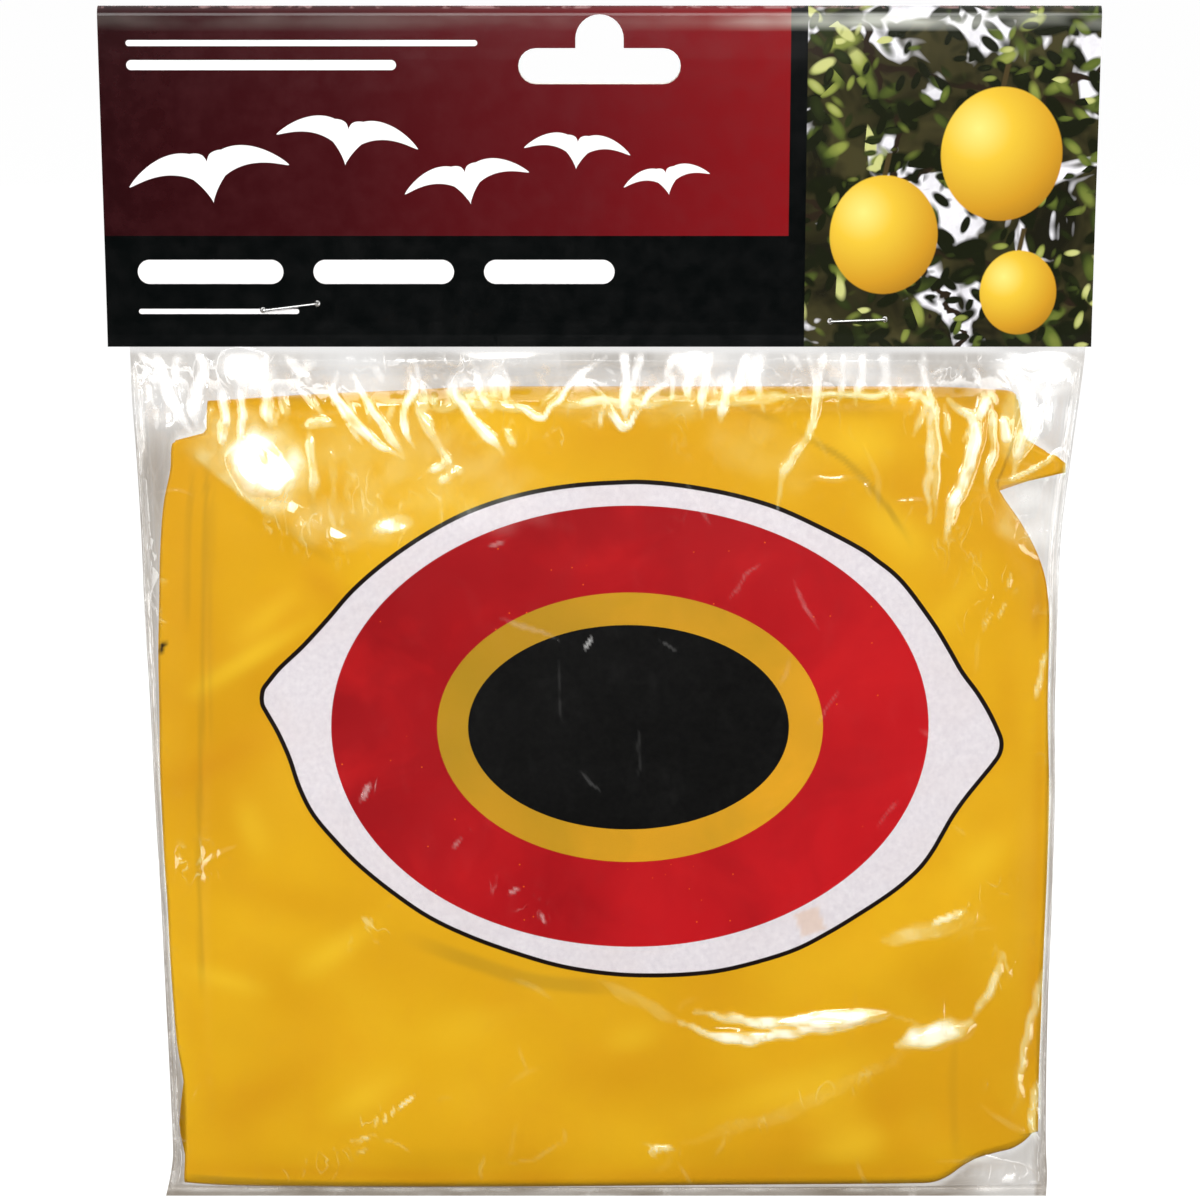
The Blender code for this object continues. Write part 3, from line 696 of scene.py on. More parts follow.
    # plain white birds and bars
    white = mix(soft(grime, 0.4, 0.85), rgb(246, 243, 242), rgb(228, 224, 224))
    figures = None
    row_z = at(600, 168, -1.5)[1]
    for cx, cz, s, tilt in ((-77.0, row_z - 3.5, 16.0, 8), (-50.0, row_z + 3.5, 14.0, -6), (-26.0, row_z - 4.5, 12.5, 10),
                            (-4.5, row_z + 2.0, 10.5, -4), (13.5, row_z - 3.5, 8.6, 9)):
        d = bird(x, z, cx, cz, s, tilt)
        figures = d if figures is None else lower(figures, d)
    za, zb = at(600, 260, -1.3)[1], at(600, 284, -1.3)[1]
    for x0, x1 in ((-92.0, -63.0), (-57.0, -29.0), (-23.0, 3.0)):
        figures = lower(figures, bar(x, z, x0, x1, zb, za))
    za, zb = at(600, 309, -1.2)[1], at(600, 314, -1.2)[1]
    figures = lower(figures, bar(x, z, -92.0, -60.0, zb, za))
    za, zb = at(600, 40, -1.6)[1], at(600, 46, -1.6)[1]
    figures = lower(figures, bar(x, z, -93.0, -24.0, zb, za))
    za, zb = at(600, 60, -1.6)[1], at(600, 70, -1.6)[1]
    figures = lower(figures, bar(x, z, -93.0, -40.0, zb, za))
    lit = inside(figures) * front * less(z, 3.0)
    art_front = mix(lit, art, white)

    # the back: dark red head, black foot, and a pale panel with three plain drawings
    back = mix(inside(-44.0 - z), black, red)
    panel = upper(abs(x) - 84.0, abs(z + 25.0) - 14.0)
    back = mix(inside(panel), back, rgb(226, 223, 218))
    mark = None
    for cx in (-52.0, 0.0, 52.0):
        d = abs(disc_d(x, z, cx, -25.0, 9.5)) - 0.5
        d = lower(d, abs(disc_d(x, z, cx, -25.0, 3.4, 0.72)) - 0.45)
        d = lower(d, disc_d(x, z, cx, -25.0, 1.3))
        mark = d if mark is None else lower(mark, d)
    mark = lower(mark, upper(abs(abs(x) - 26.0) - 4.0, abs(z + 25.0) - 0.5))
    back = mix(inside(mark), back, rgb(60, 22, 26))
    print_col = mix(front, back, art_front)

    board = mix(soft(noise(vec, 700.0, 3.0, 0.6), 0.3, 0.7), rgb(214, 208, 198), rgb(232, 227, 219))
    edge = mix(soft(noise(vec, 900.0, 3.0, 0.6), 0.3, 0.7), rgb(222, 218, 212), rgb(246, 244, 240))
    col = mix(core, mix(printed, board, print_col), edge)
    # a patchy pale pink band along the fold at the top: a painted highlight of the rounded fold
    pink_fold_highlight = inside(abs(z - (CARD_TOP - 0.15)) - 0.35, 0.3) * soft(noise(vec, 240.0, 3.0, 0.6), 0.5, 0.6) * printed * 0.5
    col = mix(pink_fold_highlight, col, rgb(190, 150, 148))
    rough = calc("ADD", calc("MULTIPLY_ADD", grime, 0.08, 0.10), (1.0 - printed) * 0.5)
    wave = noise(stretch(vec, 1.0, 1.0, 0.5), 22.0, 2.0, 0.5)
    normal = bump(noise(vec, 1200.0, 2.0, 0.5), 0.05, 0.00005, bump(wave, 0.2, 0.0012))
    p = principled(out, Base_Color=col, Roughness=rough, Normal=normal)
    p.inputs["Specular IOR Level"].default_value = 0.3
    p.inputs["Coat Weight"].default_value = 0.2
    p.inputs["Coat Roughness"].default_value = 0.05
    return mat


FILM = film_material()
PATCH, PVC, PAPER, FOIL, STEEL, CARD = (patch_material(), pvc_material(), paper_material(), foil_material(),
                                        steel_material(), card_material())


def paint(node, mat):
    """Gives a CAD node its material."""
    o = nodes[node]
    o.data.materials.clear()
    o.data.materials.append(mat)
    return o


paint("header_card", CARD)
for n in ("staple_left", "staple_right"):
    paint(n, STEEL)
for n in ("top_pole_patch", "bottom_pole_patch", "hang_tab"):
    paint(n, PATCH)
for n in ("valve_body", "valve_plug"):
    paint(n, PVC)
paint("sticker_backing", PAPER)
for i in range(1, 7):
    paint(f"pupil_sticker_{i}", FOIL)

# ---------------------------------------------------------------- the folded ball
# left and right edges of the stack, in mm at a height, read off the picture
left_edge = curve([(at(0, v, -2.5)[1], at(u, v, -2.5)[0]) for u, v in
                   ((206, 390), (205, 428), (172, 440), (170, 470), (164, 500), (160, 550), (159, 600), (158, 650), (159, 710),
                    (160, 780), (162, 820), (164, 860), (167, 900), (169.5, 950), (173, 1000), (177, 1045), (184, 1090), (185, 1150), (184, 1180))])
right_front = curve([(at(0, v, -3.5)[1], at(u, v, -3.5)[0]) for u, v in
                     ((1018, 391), (1016, 430), (1004, 470), (998, 486), (1003, 496), (1020, 521), (1037, 552), (1048, 590),
                      (1049, 640), (1048, 700), (1048, 800), (1046, 880), (1043.5, 940), (1040.5, 1000), (1038.5, 1060), (1037.5, 1130), (1034, 1150), (1032, 1180))])
right_back = curve([(at(0, v, 0.5)[1], at(u, v, 0.5)[0]) for u, v in
                    ((1018, 391), (1030, 430), (1050, 449), (1064, 458), (1066, 468), (1064, 474), (999, 484), (1001, 494),
                     (1018, 521), (1036, 552), (1047, 590),
                     (1049, 640), (1048, 700), (1048, 800), (1046, 880), (1043.5, 940), (1041, 1000), (1039, 1060), (1038.5, 1130), (1036, 1150), (1034, 1180))])
top_drop = curve([(-94.0, -3.3), (-79.6, -2.9), (-60.0, -1.7), (-42.0, -0.9), (-20.0, 0.0), (60.0, 0.0),
                  (78.0, -0.5), (83.0, -1.0), (86.5, -6.0), (91.0, -11.5), (95.0, -16.0)])
bottom_rise = curve([(-95.0, 0.9), (-84.0, 0.0), (-70.0, -0.3), (-20.0, -0.2), (40.0, 0.3), (68.5, 0.4), (71.5, 0.9), (74.0, 2.2),
                     (76.5, 4.1), (79.5, 5.8), (83.5, 7.0), (87.8, 8.3), (90.0, 9.9), (92.0, 12.3)])


def squeeze(x, z):
    """How thick the stack is at a place: the layers lie closer together towards the sides and the upper corners."""
    sides = 0.58 * np.clip(np.abs(x) / 91.0, 0, 1) ** 4
    corner = 0.34 * np.exp(-((x + 78.0) / 20.0) ** 2 - ((z + 74.0) / 15.0) ** 2)
    corner = corner + 0.22 * np.exp(-((x - 84.0) / 14.0) ** 2 - ((z + 74.0) / 14.0) ** 2)
    return 1.0 - sides - corner * (1 - sides)


FOLDS = [  # soft folds pressed into the front layer: points in the picture, width, height in mm
    (((203, 452), (199, 560), (202, 700), (197, 850), (202, 1000), (205, 1176)), 2.6, -0.16),
    (((214, 470), (211, 640), (214, 800), (211, 960), (216, 1170)), 2.8, 0.10),
    (((955, 1010), (952, 1090), (958, 1180)), 4.0, 0.22),
    (((943, 1020), (940, 1100), (944, 1180)), 4.0, -0.14),
    (((330, 555), (270, 515), (205, 470)), 4.0, 0.3),
    (((230, 1010), (360, 1100), (520, 1150)), 11.0, 0.35),
    (((820, 1000), (900, 960), (985, 880)), 10.0, 0.4),
    (((200, 680), (300, 620), (420, 545)), 8.0, 0.3),
    (((190, 760), (290, 700)), 8.0, -0.25),
]


def front_relief(x, z):
    """How far the front layer stands forward of its flat place, in mm."""
    cz = (STACK_TOP + STACK_BOTTOM) / 2
    pillow = 0.35 * (1 - np.clip(np.abs(x) / 92, 0, 1) ** 3) * (1 - np.clip(np.abs(z - cz) / 86, 0, 1) ** 4)
    out = pillow + 0.22 * waves(x, z, 30.0, 11)
    for pts, w, h in FOLDS:
        fold(x, z, out, None, smooth_path([at(u, v) for u, v in pts]), w, h)
    edge = np.minimum(np.minimum(x - left_edge(z), right_front(z) - x), np.minimum(z - STACK_BOTTOM - 2.0, STACK_TOP - z + 3.0))
    return np.clip(out + 0.35, 0.0, None) * step(-0.5, 8.0, edge)


def strip(k, columns, fine):
    """One gore, folded in three, as rows of points from the lower flap's tip to the upper flap's."""
    last = 2 * GORES - 1
    big_low, big_top = last * PITCH / 2, ((3 * GORES - 1) * PITCH + PATCH_ROOM) / 2
    r_low, r_top = (last - 2 * k) * PITCH / 2, ((3 * GORES - 1 - 2 * k) * PITCH + PATCH_ROOM) / 2
    yl, zl = YF + big_low, STACK_BOTTOM + big_low + VINYL_T / 2
    yt, zt = YF + big_top, STACK_TOP - big_top - VINYL_T / 2
    rows = []  # y, z, share of full width, how much of the front relief
    tip = zt - 3.0 - 0.8 * k
    n = 60 if fine else 30
    for i in range(n, 0, -1):
        z = zl + (tip - zl) * i / n
        rows.append((yl + r_low, z, (z - zl) / 165.0, 0.0))
    m = 22 if fine else 14
    for i in range(m + 1):
        a = math.pi * i / m
        rows.append((yl + r_low * math.cos(a), zl - r_low * math.sin(a), 0.0, max(0.0, -math.cos(a)) ** 2))
    n = 270 if fine else 90
    for i in range(1, n):
        rows.append((yl - r_low, zl + (zt - zl) * i / n, 0.0, 1.0))
    for i in range(m + 1):
        a = math.pi * i / m
        rows.append((yt - r_top * math.cos(a), zt + r_top * math.sin(a), 0.0, max(0.0, math.cos(a)) ** 2))
    tip = STACK_BOTTOM + 5.0 + 0.8 * k
    n = 80 if fine else 40
    for i in range(1, n + 1):
        z = zt + (tip - zt) * i / n
        rows.append((yt + r_top, z, (zt - z) / 165.0, 0.0))
    y0, z0, flap, relief = (np.array([r[i] for r in rows])[:, None] for i in range(4))
    u = np.linspace(0, 1, columns)[None, :]
    right = right_front if k == 0 else right_back
    jitter = 0.35 * np.sin(z0 / 17.0 + 2.1 * k) + 0.3 * np.sin(z0 / 7.3 + k)
    lo = left_edge(z0) + (0.25 * k + 0.3 * jitter if k else 0.0)
    hi = right(z0) - (0.2 * k + 0.3 * jitter if k else 0.0)
    taper = np.maximum(13.0 / 90.0, np.cos(math.pi / 2 * np.clip(flap, 0, 1)))
    taper = np.where(flap > 0, taper, 1.0)
    # the back flaps keep plain sides; only the front pass, its folds and the upper flap's head follow the picture's outline
    upper = (np.arange(len(rows)) > len(rows) - 90 if fine else np.arange(len(rows)) > len(rows) - 45)[:, None]
    plain = np.where(upper, step(0.20, 0.26, flap), step(0.0, 0.06, flap))
    lo, hi = lo * (1 - plain) + -89.0 * plain, hi * (1 - plain) + 90.5 * plain
    x = (lo + (hi - lo) * u) * taper
    at_top = step(-84.0, STACK_TOP - 1.0, z0) * np.ones_like(x)
    at_bottom = 1 - step(STACK_BOTTOM + 1.0, STACK_BOTTOM + 13.0, z0) * np.ones_like(x)
    z = z0 + top_drop(x) * at_top + bottom_rise(x) * at_bottom
    y = Y_MID + (y0 - Y_MID) * squeeze(x, z)
    if k == 0:
        y = y - front_relief(x, z) * relief
    elif k < 3:
        y = y - np.minimum(front_relief(x, z), 0.35) * relief * (1 - k / 3)
    return x, y, z, relief


# a gore is full width over the front pass and tapers towards both poles
for k in range(GORES):
    fine = k == 0
    gx, gy, gz, rel = strip(k, 240 if fine else 60, fine)
    gore = grid_object(f"folded_gore_{k + 1}", gx, gy, gz, VINYL_EYE if fine else VINYL, "ball")
    if fine:
        rows_front = np.repeat((rel > 0.5).astype(float), gx.shape[1], axis=1)
        for key, value in eye_marks(gx, gz, rows_front).items():
            layer = gore.data.attributes.new(key, "FLOAT", "POINT")
            layer.data.foreach_set("value", value.reshape(-1).astype(np.float32))
    solid = gore.modifiers.new("thickness", "SOLIDIFY")
    solid.thickness, solid.offset = 0.16 * MM, 0.0
    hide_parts(f"gore_{k + 1}")

# the strap between the valve's flange and its plug
valve_y, valve_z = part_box("valve_body")[0][1] / MM, -150.0
plug_lo, plug_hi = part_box("valve_plug")
head_y = plug_hi[1] / MM - 0.45
line = smooth_path([(-10.2, valve_y + 0.45), (-12.6, valve_y + 0.55), (-14.6, valve_y + 1.3), (-14.2, valve_y + 2.5),
                    (-11.6, head_y + 0.25), (-8.0, head_y + 0.1), (-4.4, head_y)], 8)
across = np.linspace(-1, 1, 9)[None, :]
half = 1.5 + 0.8 * (1 - np.clip(np.minimum(np.arange(len(line)), np.arange(len(line))[::-1]) / 5.0, 0, 1))[:, None]
sx = np.repeat(line[:, :1], 9, axis=1)
sy = np.repeat(line[:, 1:2], 9, axis=1)
sz = valve_z + across * half
strap = grid_object("valve_strap", sx, sy, sz, PVC)
strap_solid = strap.modifiers.new("thickness", "SOLIDIFY")
strap_solid.thickness, strap_solid.offset = 0.5 * MM, 0.0
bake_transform(strap)
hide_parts("plug_strap")

# ---------------------------------------------------------------- the film bag
film_left = curve([(at(0, v, 0)[1], at(u, v, 0)[0]) for u, v in
                   ((129, 340), (130, 352), (132, 400), (136, 450), (142, 550), (144, 600), (150, 700), (155, 800), (161, 900),
                    (166, 1000), (171, 1100), (173, 1150), (170, 1178), (166, 1196))] + [(-20.0, -93.8)])
film_right = curve([(at(0, v, 0)[1], at(u, v, 0)[0]) for u, v in
                    ((1086, 340), (1085, 352), (1079, 400), (1072, 450), (1060, 550), (1058, 600), (1055, 700), (1055, 800),
                     (1052, 900), (1048, 1000), (1046, 1100), (1046, 1150), (1047, 1178), (1046, 1196))] + [(-20.0, 95.6)])
neck = curve([(-20.0, 0.15), (-60.0, 0.15), (-63.7, 0.17), (-64.5, 0.4), (-65.3, 1.1), (-66.2, 2.1), (-67.1, 3.05), (-68.1, 3.85),
              (-69.3, 4.5), (-70.6, 4.98), (-72.0, 5.22), (-73.8, 5.29), (-77.0, 5.3), (-80.0, 5.3)])
back_neck = curve([(-20.0, 0.15), (-60.0, 0.15), (-63.7, 0.17), (-64.7, 0.34), (-66.7, 3.6), (-70.0, 5.9), (-76.5, 7.4), (-90.0, 9.2),
                   (-104.5, 10.8), (-126.0, 12.0), (-148.5, 12.4)])
back_side = curve([(0.5, 0.15), (0.9, 0.6), (1.7, 3.6), (3.0, 5.2), (9.0, 6.6), (20.0, 8.2), (46.0, 10.2), (91.0, 12.4)])
back_floor = curve([(1.5, 0.15), (2.0, 0.6), (2.9, 2.9), (5.0, 6.1), (9.0, 7.9), (12.0, 8.6), (42.0, 11.0), (90.0, 12.4)])

# creases in the front wall: points in the picture, width, height and lean, and how white it is painted, as stress
# whitening and painted highlight
CREASES = [
    # the wavy line over the stack's top edge
    (((507, 397), (521, 408), (541, 418), (557, 402), (572, 384), (588, 371), (606, 360)), 0.85, 0.36, 0.0, 0.75),
    (((594, 385), (608, 404), (625, 427), (641, 404), (655, 388), (678, 380)), 0.95, 0.40, 0.0, 0.8),
    (((425, 409), (470, 404), (500, 406), (540, 409)), 1.3, 0.26, 0.0, 0.35),
    (((560, 405), (600, 402), (640, 404), (668, 403)), 1.5, 0.26, 0.0, 0.6),
    (((690, 408), (720, 404), (760, 399), (800, 396)), 1.2, 0.26, 0.0, 0.4),
    (((800, 396), (833, 394), (877, 397), (903, 391)), 0.8, 0.26, 0.0, 0.45),
    (((625, 348), (626, 390), (625, 424)), 1.3, 0.60, 0.0, 0.8),
    (((642, 348), (638, 372), (628, 402)), 1.1, 0.45, 0.0, 0.55),
    (((600, 396), (612, 414), (622, 426)), 0.9, 0.35, 0.0, 0.4),
    (((560, 384), (548, 398), (540, 408)), 0.8, 0.3, 0.0, 0.3),
    # left of the neck
    (((153, 350), (162, 380), (175, 408), (190, 434)), 1.51, 0.65, 0.3, 0.8),
    (((134, 352), (144, 364), (160, 372)), 1.08, 0.36, 0.0, 0.5),
    (((172, 352), (176, 372), (168, 392)), 1.20, 0.50, 0.0, 0.4),
    (((190, 350), (198, 378), (190, 402), (196, 428)), 1.58, 0.68, -0.3, 0.75),
    (((223, 388), (224, 420), (222, 452)), 1.10, 0.55, 0.0, 0.75),
    (((238, 384), (242, 420), (238, 452)), 1.08, 0.50, 0.0, 0.8),
    (((228, 350), (240, 372), (244, 392)), 2.02, 0.72, 0.2, 0.6),
    (((268, 350), (262, 372), (268, 402), (270, 434)), 1.51, 0.61, 0.3, 0.8),
    (((284, 360), (300, 372), (312, 366)), 1.30, 0.32, 0.0, 0.5),
    (((282, 390), (286, 420)), 1.20, 0.40, 0.0, 0.25),
    # V folds
    (((338, 374), (334, 394), (352, 418), (374, 440), (403, 457)), 1.22, 0.58, 0.2, 0.85),
    (((352, 376), (368, 404), (386, 432), (403, 456)), 1.01, 0.47, -0.2, 0.75),
    (((410, 372), (414, 390), (403, 412), (406, 430), (414, 447)), 1.15, 0.58, 0.0, 0.8),
    (((416, 390), (428, 430), (448, 460), (446, 484)), 1.44, 0.40, 0.0, 0.45),
    (((452, 378), (460, 396), (470, 414), (488, 434), (504, 453)), 1.51, 0.68, 0.25, 0.8),
    (((476, 370), (480, 392), (492, 412)), 1.15, 0.54, 0.0, 0.7),
    (((498, 368), (508, 386), (504, 404)), 1.01, 0.47, 0.0, 0.6),
    (((453, 356), (500, 358), (550, 356)), 1.15, 0.36, 0.0, 0.6),
    (((515, 446), (506, 430)), 1.00, 0.35, 0.0, 0.5),
    # middle of the neck
    (((697, 350), (690, 376), (688, 402)), 1.22, 0.54, 0.0, 0.7),
    (((712, 350), (706, 384), (700, 416)), 1.37, 0.58, 0.2, 0.75),
    (((728, 376), (726, 400), (722, 420)), 1.37, 0.58, 0.0, 0.8),
    (((752, 350), (742, 376), (732, 400)), 1.30, 0.50, 0.0, 0.65),
    (((672, 372), (674, 388), (670, 404)), 0.94, 0.40, 0.0, 0.6),
    (((682, 352), (672, 366), (664, 384)), 1.10, 0.45, 0.0, 0.45),
    (((766, 350), (758, 384), (764, 410)), 1.08, 0.40, 0.0, 0.5),
    # right of the neck
    (((807, 348), (817, 384), (811, 430), (800, 446), (782, 478), (778, 508)), 1.10, 0.45, 0.0, 0.5),
    (((827, 348), (820, 384), (812, 428)), 0.94, 0.36, 0.0, 0.55),
    (((847, 348), (843, 376), (838, 404)), 1.01, 0.40, 0.0, 0.5),
    (((866, 348), (862, 378), (856, 404)), 1.08, 0.40, 0.0, 0.5),
    (((884, 350), (888, 374), (880, 396)), 1.20, 0.40, 0.0, 0.3),
    (((903, 391), (920, 397), (930, 415)), 0.90, 0.35, 0.0, 0.5),
    (((922, 348), (928, 388), (931, 420), (929, 470), (928, 522)), 1.10, 0.45, 0.0, 0.5),
    (((936, 400), (937, 460), (935, 516)), 0.90, 0.30, 0.0, 0.3),
    # the Y fold
    (((952, 400), (964, 412), (974, 422), (976, 446), (967, 478), (954, 512), (946, 540)), 1.58, 0.76, 0.25, 0.85),
    (((994, 396), (984, 408), (976, 424)), 1.30, 0.54, 0.0, 0.75),
    (((988, 402), (994, 430), (993, 456), (986, 490)), 0.94, 0.47, 0.0, 0.6),
    (((1004, 416), (1009, 448)), 1.58, 0.58, 0.0, 0.7),
    (((1016, 366), (1026, 396), (1028, 424), (1020, 450), (1014, 474)), 1.80, 0.76, -0.3, 0.8),
    (((1044, 408), (1036, 432), (1024, 458)), 1.22, 0.54, 0.0, 0.7),
    (((1072, 446), (1058, 458), (1042, 468), (1000, 484)), 0.6, 0.30, 0.0, 0.45),
    (((1006, 354), (1030, 366), (1054, 358), (1078, 362)), 1.87, 0.65, 0.0, 0.7),
    (((1060, 376), (1048, 400), (1052, 430)), 1.22, 0.50, 0.0, 0.5),
    # beside the glare at the upper left
    (((307, 430), (312, 462), (314, 500)), 1.4, 0.45, 0.0, 0.45),
    (((300, 426), (318, 424), (334, 424)), 1.4, 0.4, 0.0, 0.45),
    (((427, 473), (440, 464), (453, 457)), 1.1, 0.42, 0.0, 0.6),
    (((436, 486), (450, 474), (464, 468)), 1.2, 0.4, 0.0, 0.5),
    (((330, 440), (334, 480), (330, 520)), 1.0, 0.3, 0.0, 0.15),
    (((346, 436), (350, 470), (344, 512)), 0.9, 0.3, 0.0, 0.12),
    # the two strokes at the lower right
    (((600, 980), (643, 1003), (682, 1023)), 2.0, 0.25, 0.0, 0.10),
    (((696, 1011), (735, 1017), (775, 1021), (830, 1014), (880, 1018)), 1.5, 0.42, 0.3, 0.8),
    (((680, 1022), (710, 1032), (744, 1038), (780, 1032), (830, 1026), (882, 1018)), 1.5, 0.5, 0.2, 0.85),
    (((898, 1046), (920, 1036), (944, 1030), (970, 1024)), 2.4, 0.5, 0.0, 0.8),
    (((972, 1020), (990, 993), (1004, 960)), 1.2, 0.42, 0.0, 0.45),
    (((884, 940), (922, 934), (950, 926)), 2.0, 0.2, 0.0, 0.3),
    (((930, 926), (948, 918), (966, 914)), 1.0, 0.3, 0.0, 0.6),
    (((683, 1144), (733, 1127), (778, 1116), (853, 1080), (913, 1053)), 2.0, 0.12, 0.0, 0.05),
    # sparkle
    (((650, 1150), (662, 1146), (674, 1152)), 1.0, 0.35, 0.0, 0.4),
    (((656, 1144), (662, 1152)), 0.8, 0.3, 0.0, 0.3),
    (((198, 872), (220, 858), (244, 847)), 1.2, 0.36, 0.0, 0.3),
    (((170, 876), (180, 862)), 1.3, 0.36, 0.0, 0.35),
    (((384, 1124), (388, 1111)), 0.45, 0.1, 0.0, 0.5),
    (((392, 1118), (396, 1104)), 0.4, 0.1, 0.0, 0.45),
    (((399, 1110), (413, 1094)), 0.55, 0.14, 0.0, 0.55),
    (((374, 1128), (379, 1113)), 0.4, 0.1, 0.0, 0.35),
    (((350, 1147), (362, 1139), (376, 1135)), 0.5, 0.12, 0.0, 0.45),
    (((336, 1152), (350, 1144)), 0.4, 0.1, 0.0, 0.4),
    (((342, 1160), (354, 1153), (367, 1150)), 0.6, 0.15, 0.0, 0.55),
    (((326, 1166), (337, 1158)), 0.45, 0.1, 0.0, 0.4),
    (((304, 1168), (320, 1157)), 0.4, 0.1, 0.0, 0.3),
    (((286, 1180), (302, 1173)), 0.45, 0.1, 0.0, 0.3),
    (((378, 1138), (394, 1142), (412, 1152)), 0.4, 0.05, 0.0, 0.12),
    (((302, 966), (310, 952)), 1.1, 0.2, 0.0, 0.25),
    (((312, 950), (330, 930), (344, 922)), 0.9, 0.1, 0.0, 0.1),
    (((362, 916), (372, 926)), 0.7, 0.15, 0.0, 0.25),
    (((1048, 963), (1036, 1010), (1023, 1066), (1018, 1100)), 1.1, 0.25, 0.0, 0.4),
    # over the eye
    (((560, 660), (562, 720)), 0.3, 0.0, 0.0, 0.02),
    (((640, 720), (638, 780)), 0.3, 0.0, 0.0, 0.02),
    (((578, 772), (602, 792)), 0.35, 0.0, 0.0, 0.04),
    (((660, 640), (676, 652)), 0.35, 0.0, 0.0, 0.05),
    (((488, 546), (504, 540)), 0.7, 0.0, 0.0, 0.14),
    (((728, 598), (744, 578), (762, 562)), 0.35, 0.0, 0.0, 0.08),
    (((816, 724), (838, 692)), 0.35, 0.0, 0.0, 0.08),
    (((584, 650), (592, 636)), 0.45, 0.05, 0.0, 0.4),
    (((508, 894), (520, 890)), 0.5, 0.05, 0.0, 0.25),
    (((540, 912), (545, 925)), 0.5, 0.05, 0.0, 0.25),
    (((452, 848), (462, 836)), 0.45, 0.0, 0.0, 0.18),
    (((876, 826), (900, 800)), 0.35, 0.0, 0.0, 0.06),
    (((358, 800), (366, 790), (372, 784)), 0.8, 0.28, 0.0, 0.28),
    (((998, 620), (1008, 602)), 0.4, 0.1, 0.0, 0.3),
    (((986, 628), (994, 612)), 0.35, 0.1, 0.0, 0.3),
    (((1006, 590), (1014, 574)), 0.35, 0.1, 0.0, 0.25),
    (((1038, 704), (1042, 676), (1048, 652)), 0.7, 0.2, 0.0, 0.45),
    (((846, 892), (850, 886)), 1.2, 0.2, 0.0, 0.3),
    # in the corners
    (((1004, 1182), (1016, 1186)), 1.2, 0.4, 0.0, 0.5),
    (((1030, 1186), (1038, 1192)), 1.2, 0.4, 0.0, 0.5),
    (((1038, 1150), (1034, 1120), (1040, 1084)), 1.2, 0.5, 0.0, 0.35),
    (((174, 1180), (200, 1184), (240, 1186)), 1.2, 0.3, 0.0, 0.25),
]

# larger places painted white as highlights, where the film catches the lamps: middle, half sizes and turn in the
# picture, and how much
PAINTED_HIGHLIGHT_PATCHES = [
    ((1038, 516), (26, 34), -24, 0.3),
    ((254, 470), (62, 48), 28, 0.4),
    ((262, 464), (44, 34), 28, 0.9),
    ((244, 370), (26, 22), 0, 0.5),
    ((420, 470), (120, 50), 12, 0.13),
    ((350, 520), (70, 26), 0, 0.16),
    ((394, 524), (20, 9), -10, 0.55),
    ((340, 532), (16, 9), 0, 0.35),
    ((462, 392), (14, 16), -20, 0.6),
    ((492, 384), (18, 14), 0, 0.5),
    ((694, 366), (16, 14), 0, 0.55),
    ((757, 368), (10, 22), 12, 0.5),
    ((850, 366), (24, 22), 0, 0.25),
    ((1040, 376), (40, 20), 0, 0.36),
    ((1020, 420), (16, 40), 8, 0.3),
    ((165, 376), (26, 22), 0, 0.22),
    ((640, 400), (90, 22), 0, 0.14),
    ((935, 1038), (30, 9), -14, 0.8),
    ((830, 1019), (44, 7), -4, 0.8),
    ((935, 928), (44, 9), -12, 0.12),
    ((1030, 510), (30, 34), 0, 0.22),
    ((760, 450), (60, 30), 30, 0.08),
]


# places where the film is finely crumpled, with painted glint lines: middle, half sizes and turn in the picture, and
# how much
CRUMPLED = [
    ((352, 1136), (74, 18), -36, 0.4),
    ((300, 1176), (50, 8), -8, 0.35),
    ((662, 1148), (22, 12), 0, 0.8),
    ((205, 862), (52, 20), -22, 0.6),
    ((176, 868), (14, 26), 0, 0.7),
    ((380, 924), (40, 16), -38, 0.5),
    ((452, 838), (20, 9), -40, 0.3),
    ((372, 788), (20, 8), -40, 0.5),
    ((990, 600), (40, 26), -50, 0.6),
    ((975, 560), (30, 40), 20, 0.25),
    ((960, 520), (60, 40), 0, 0.3),
    ((985, 900), (50, 18), -30, 0.4),
    ((1000, 975), (20, 40), 25, 0.5),
    ((800, 1100), (120, 14), -24, 0.3),
    ((1010, 1180), (40, 20), 0, 1.0),
    ((1038, 1120), (12, 60), 0, 0.8),
    ((170, 1140), (14, 60), 0, 0.7),
    ((150, 560), (14, 120), 0, 0.6),
    ((300, 520), (80, 40), 30, 0.5),
    ((400, 500), (90, 50), 0, 0.35),
    ((545, 440), (40, 16), 0, 0.4),
    ((1050, 420), (30, 50), 0, 0.5),
    ((1030, 520), (30, 30), 0, 0.5),
    ((165, 400), (34, 40), 0, 0.35),
    ((520, 900), (40, 12), 30, 0.3),
]


def patch_radius(x, z, mid, half, turn):
    mx, mz = at(*mid)
    s = (at(mid[0] + 50, mid[1])[0] - mx) / 50
    c, n = math.cos(math.radians(turn)), math.sin(math.radians(turn))
    a, b = (x - mx) / s, -(z - mz) / s
    p, q = (a * c + b * n) / half[0], (b * c - a * n) / half[1]
    return np.sqrt(p * p + q * q)


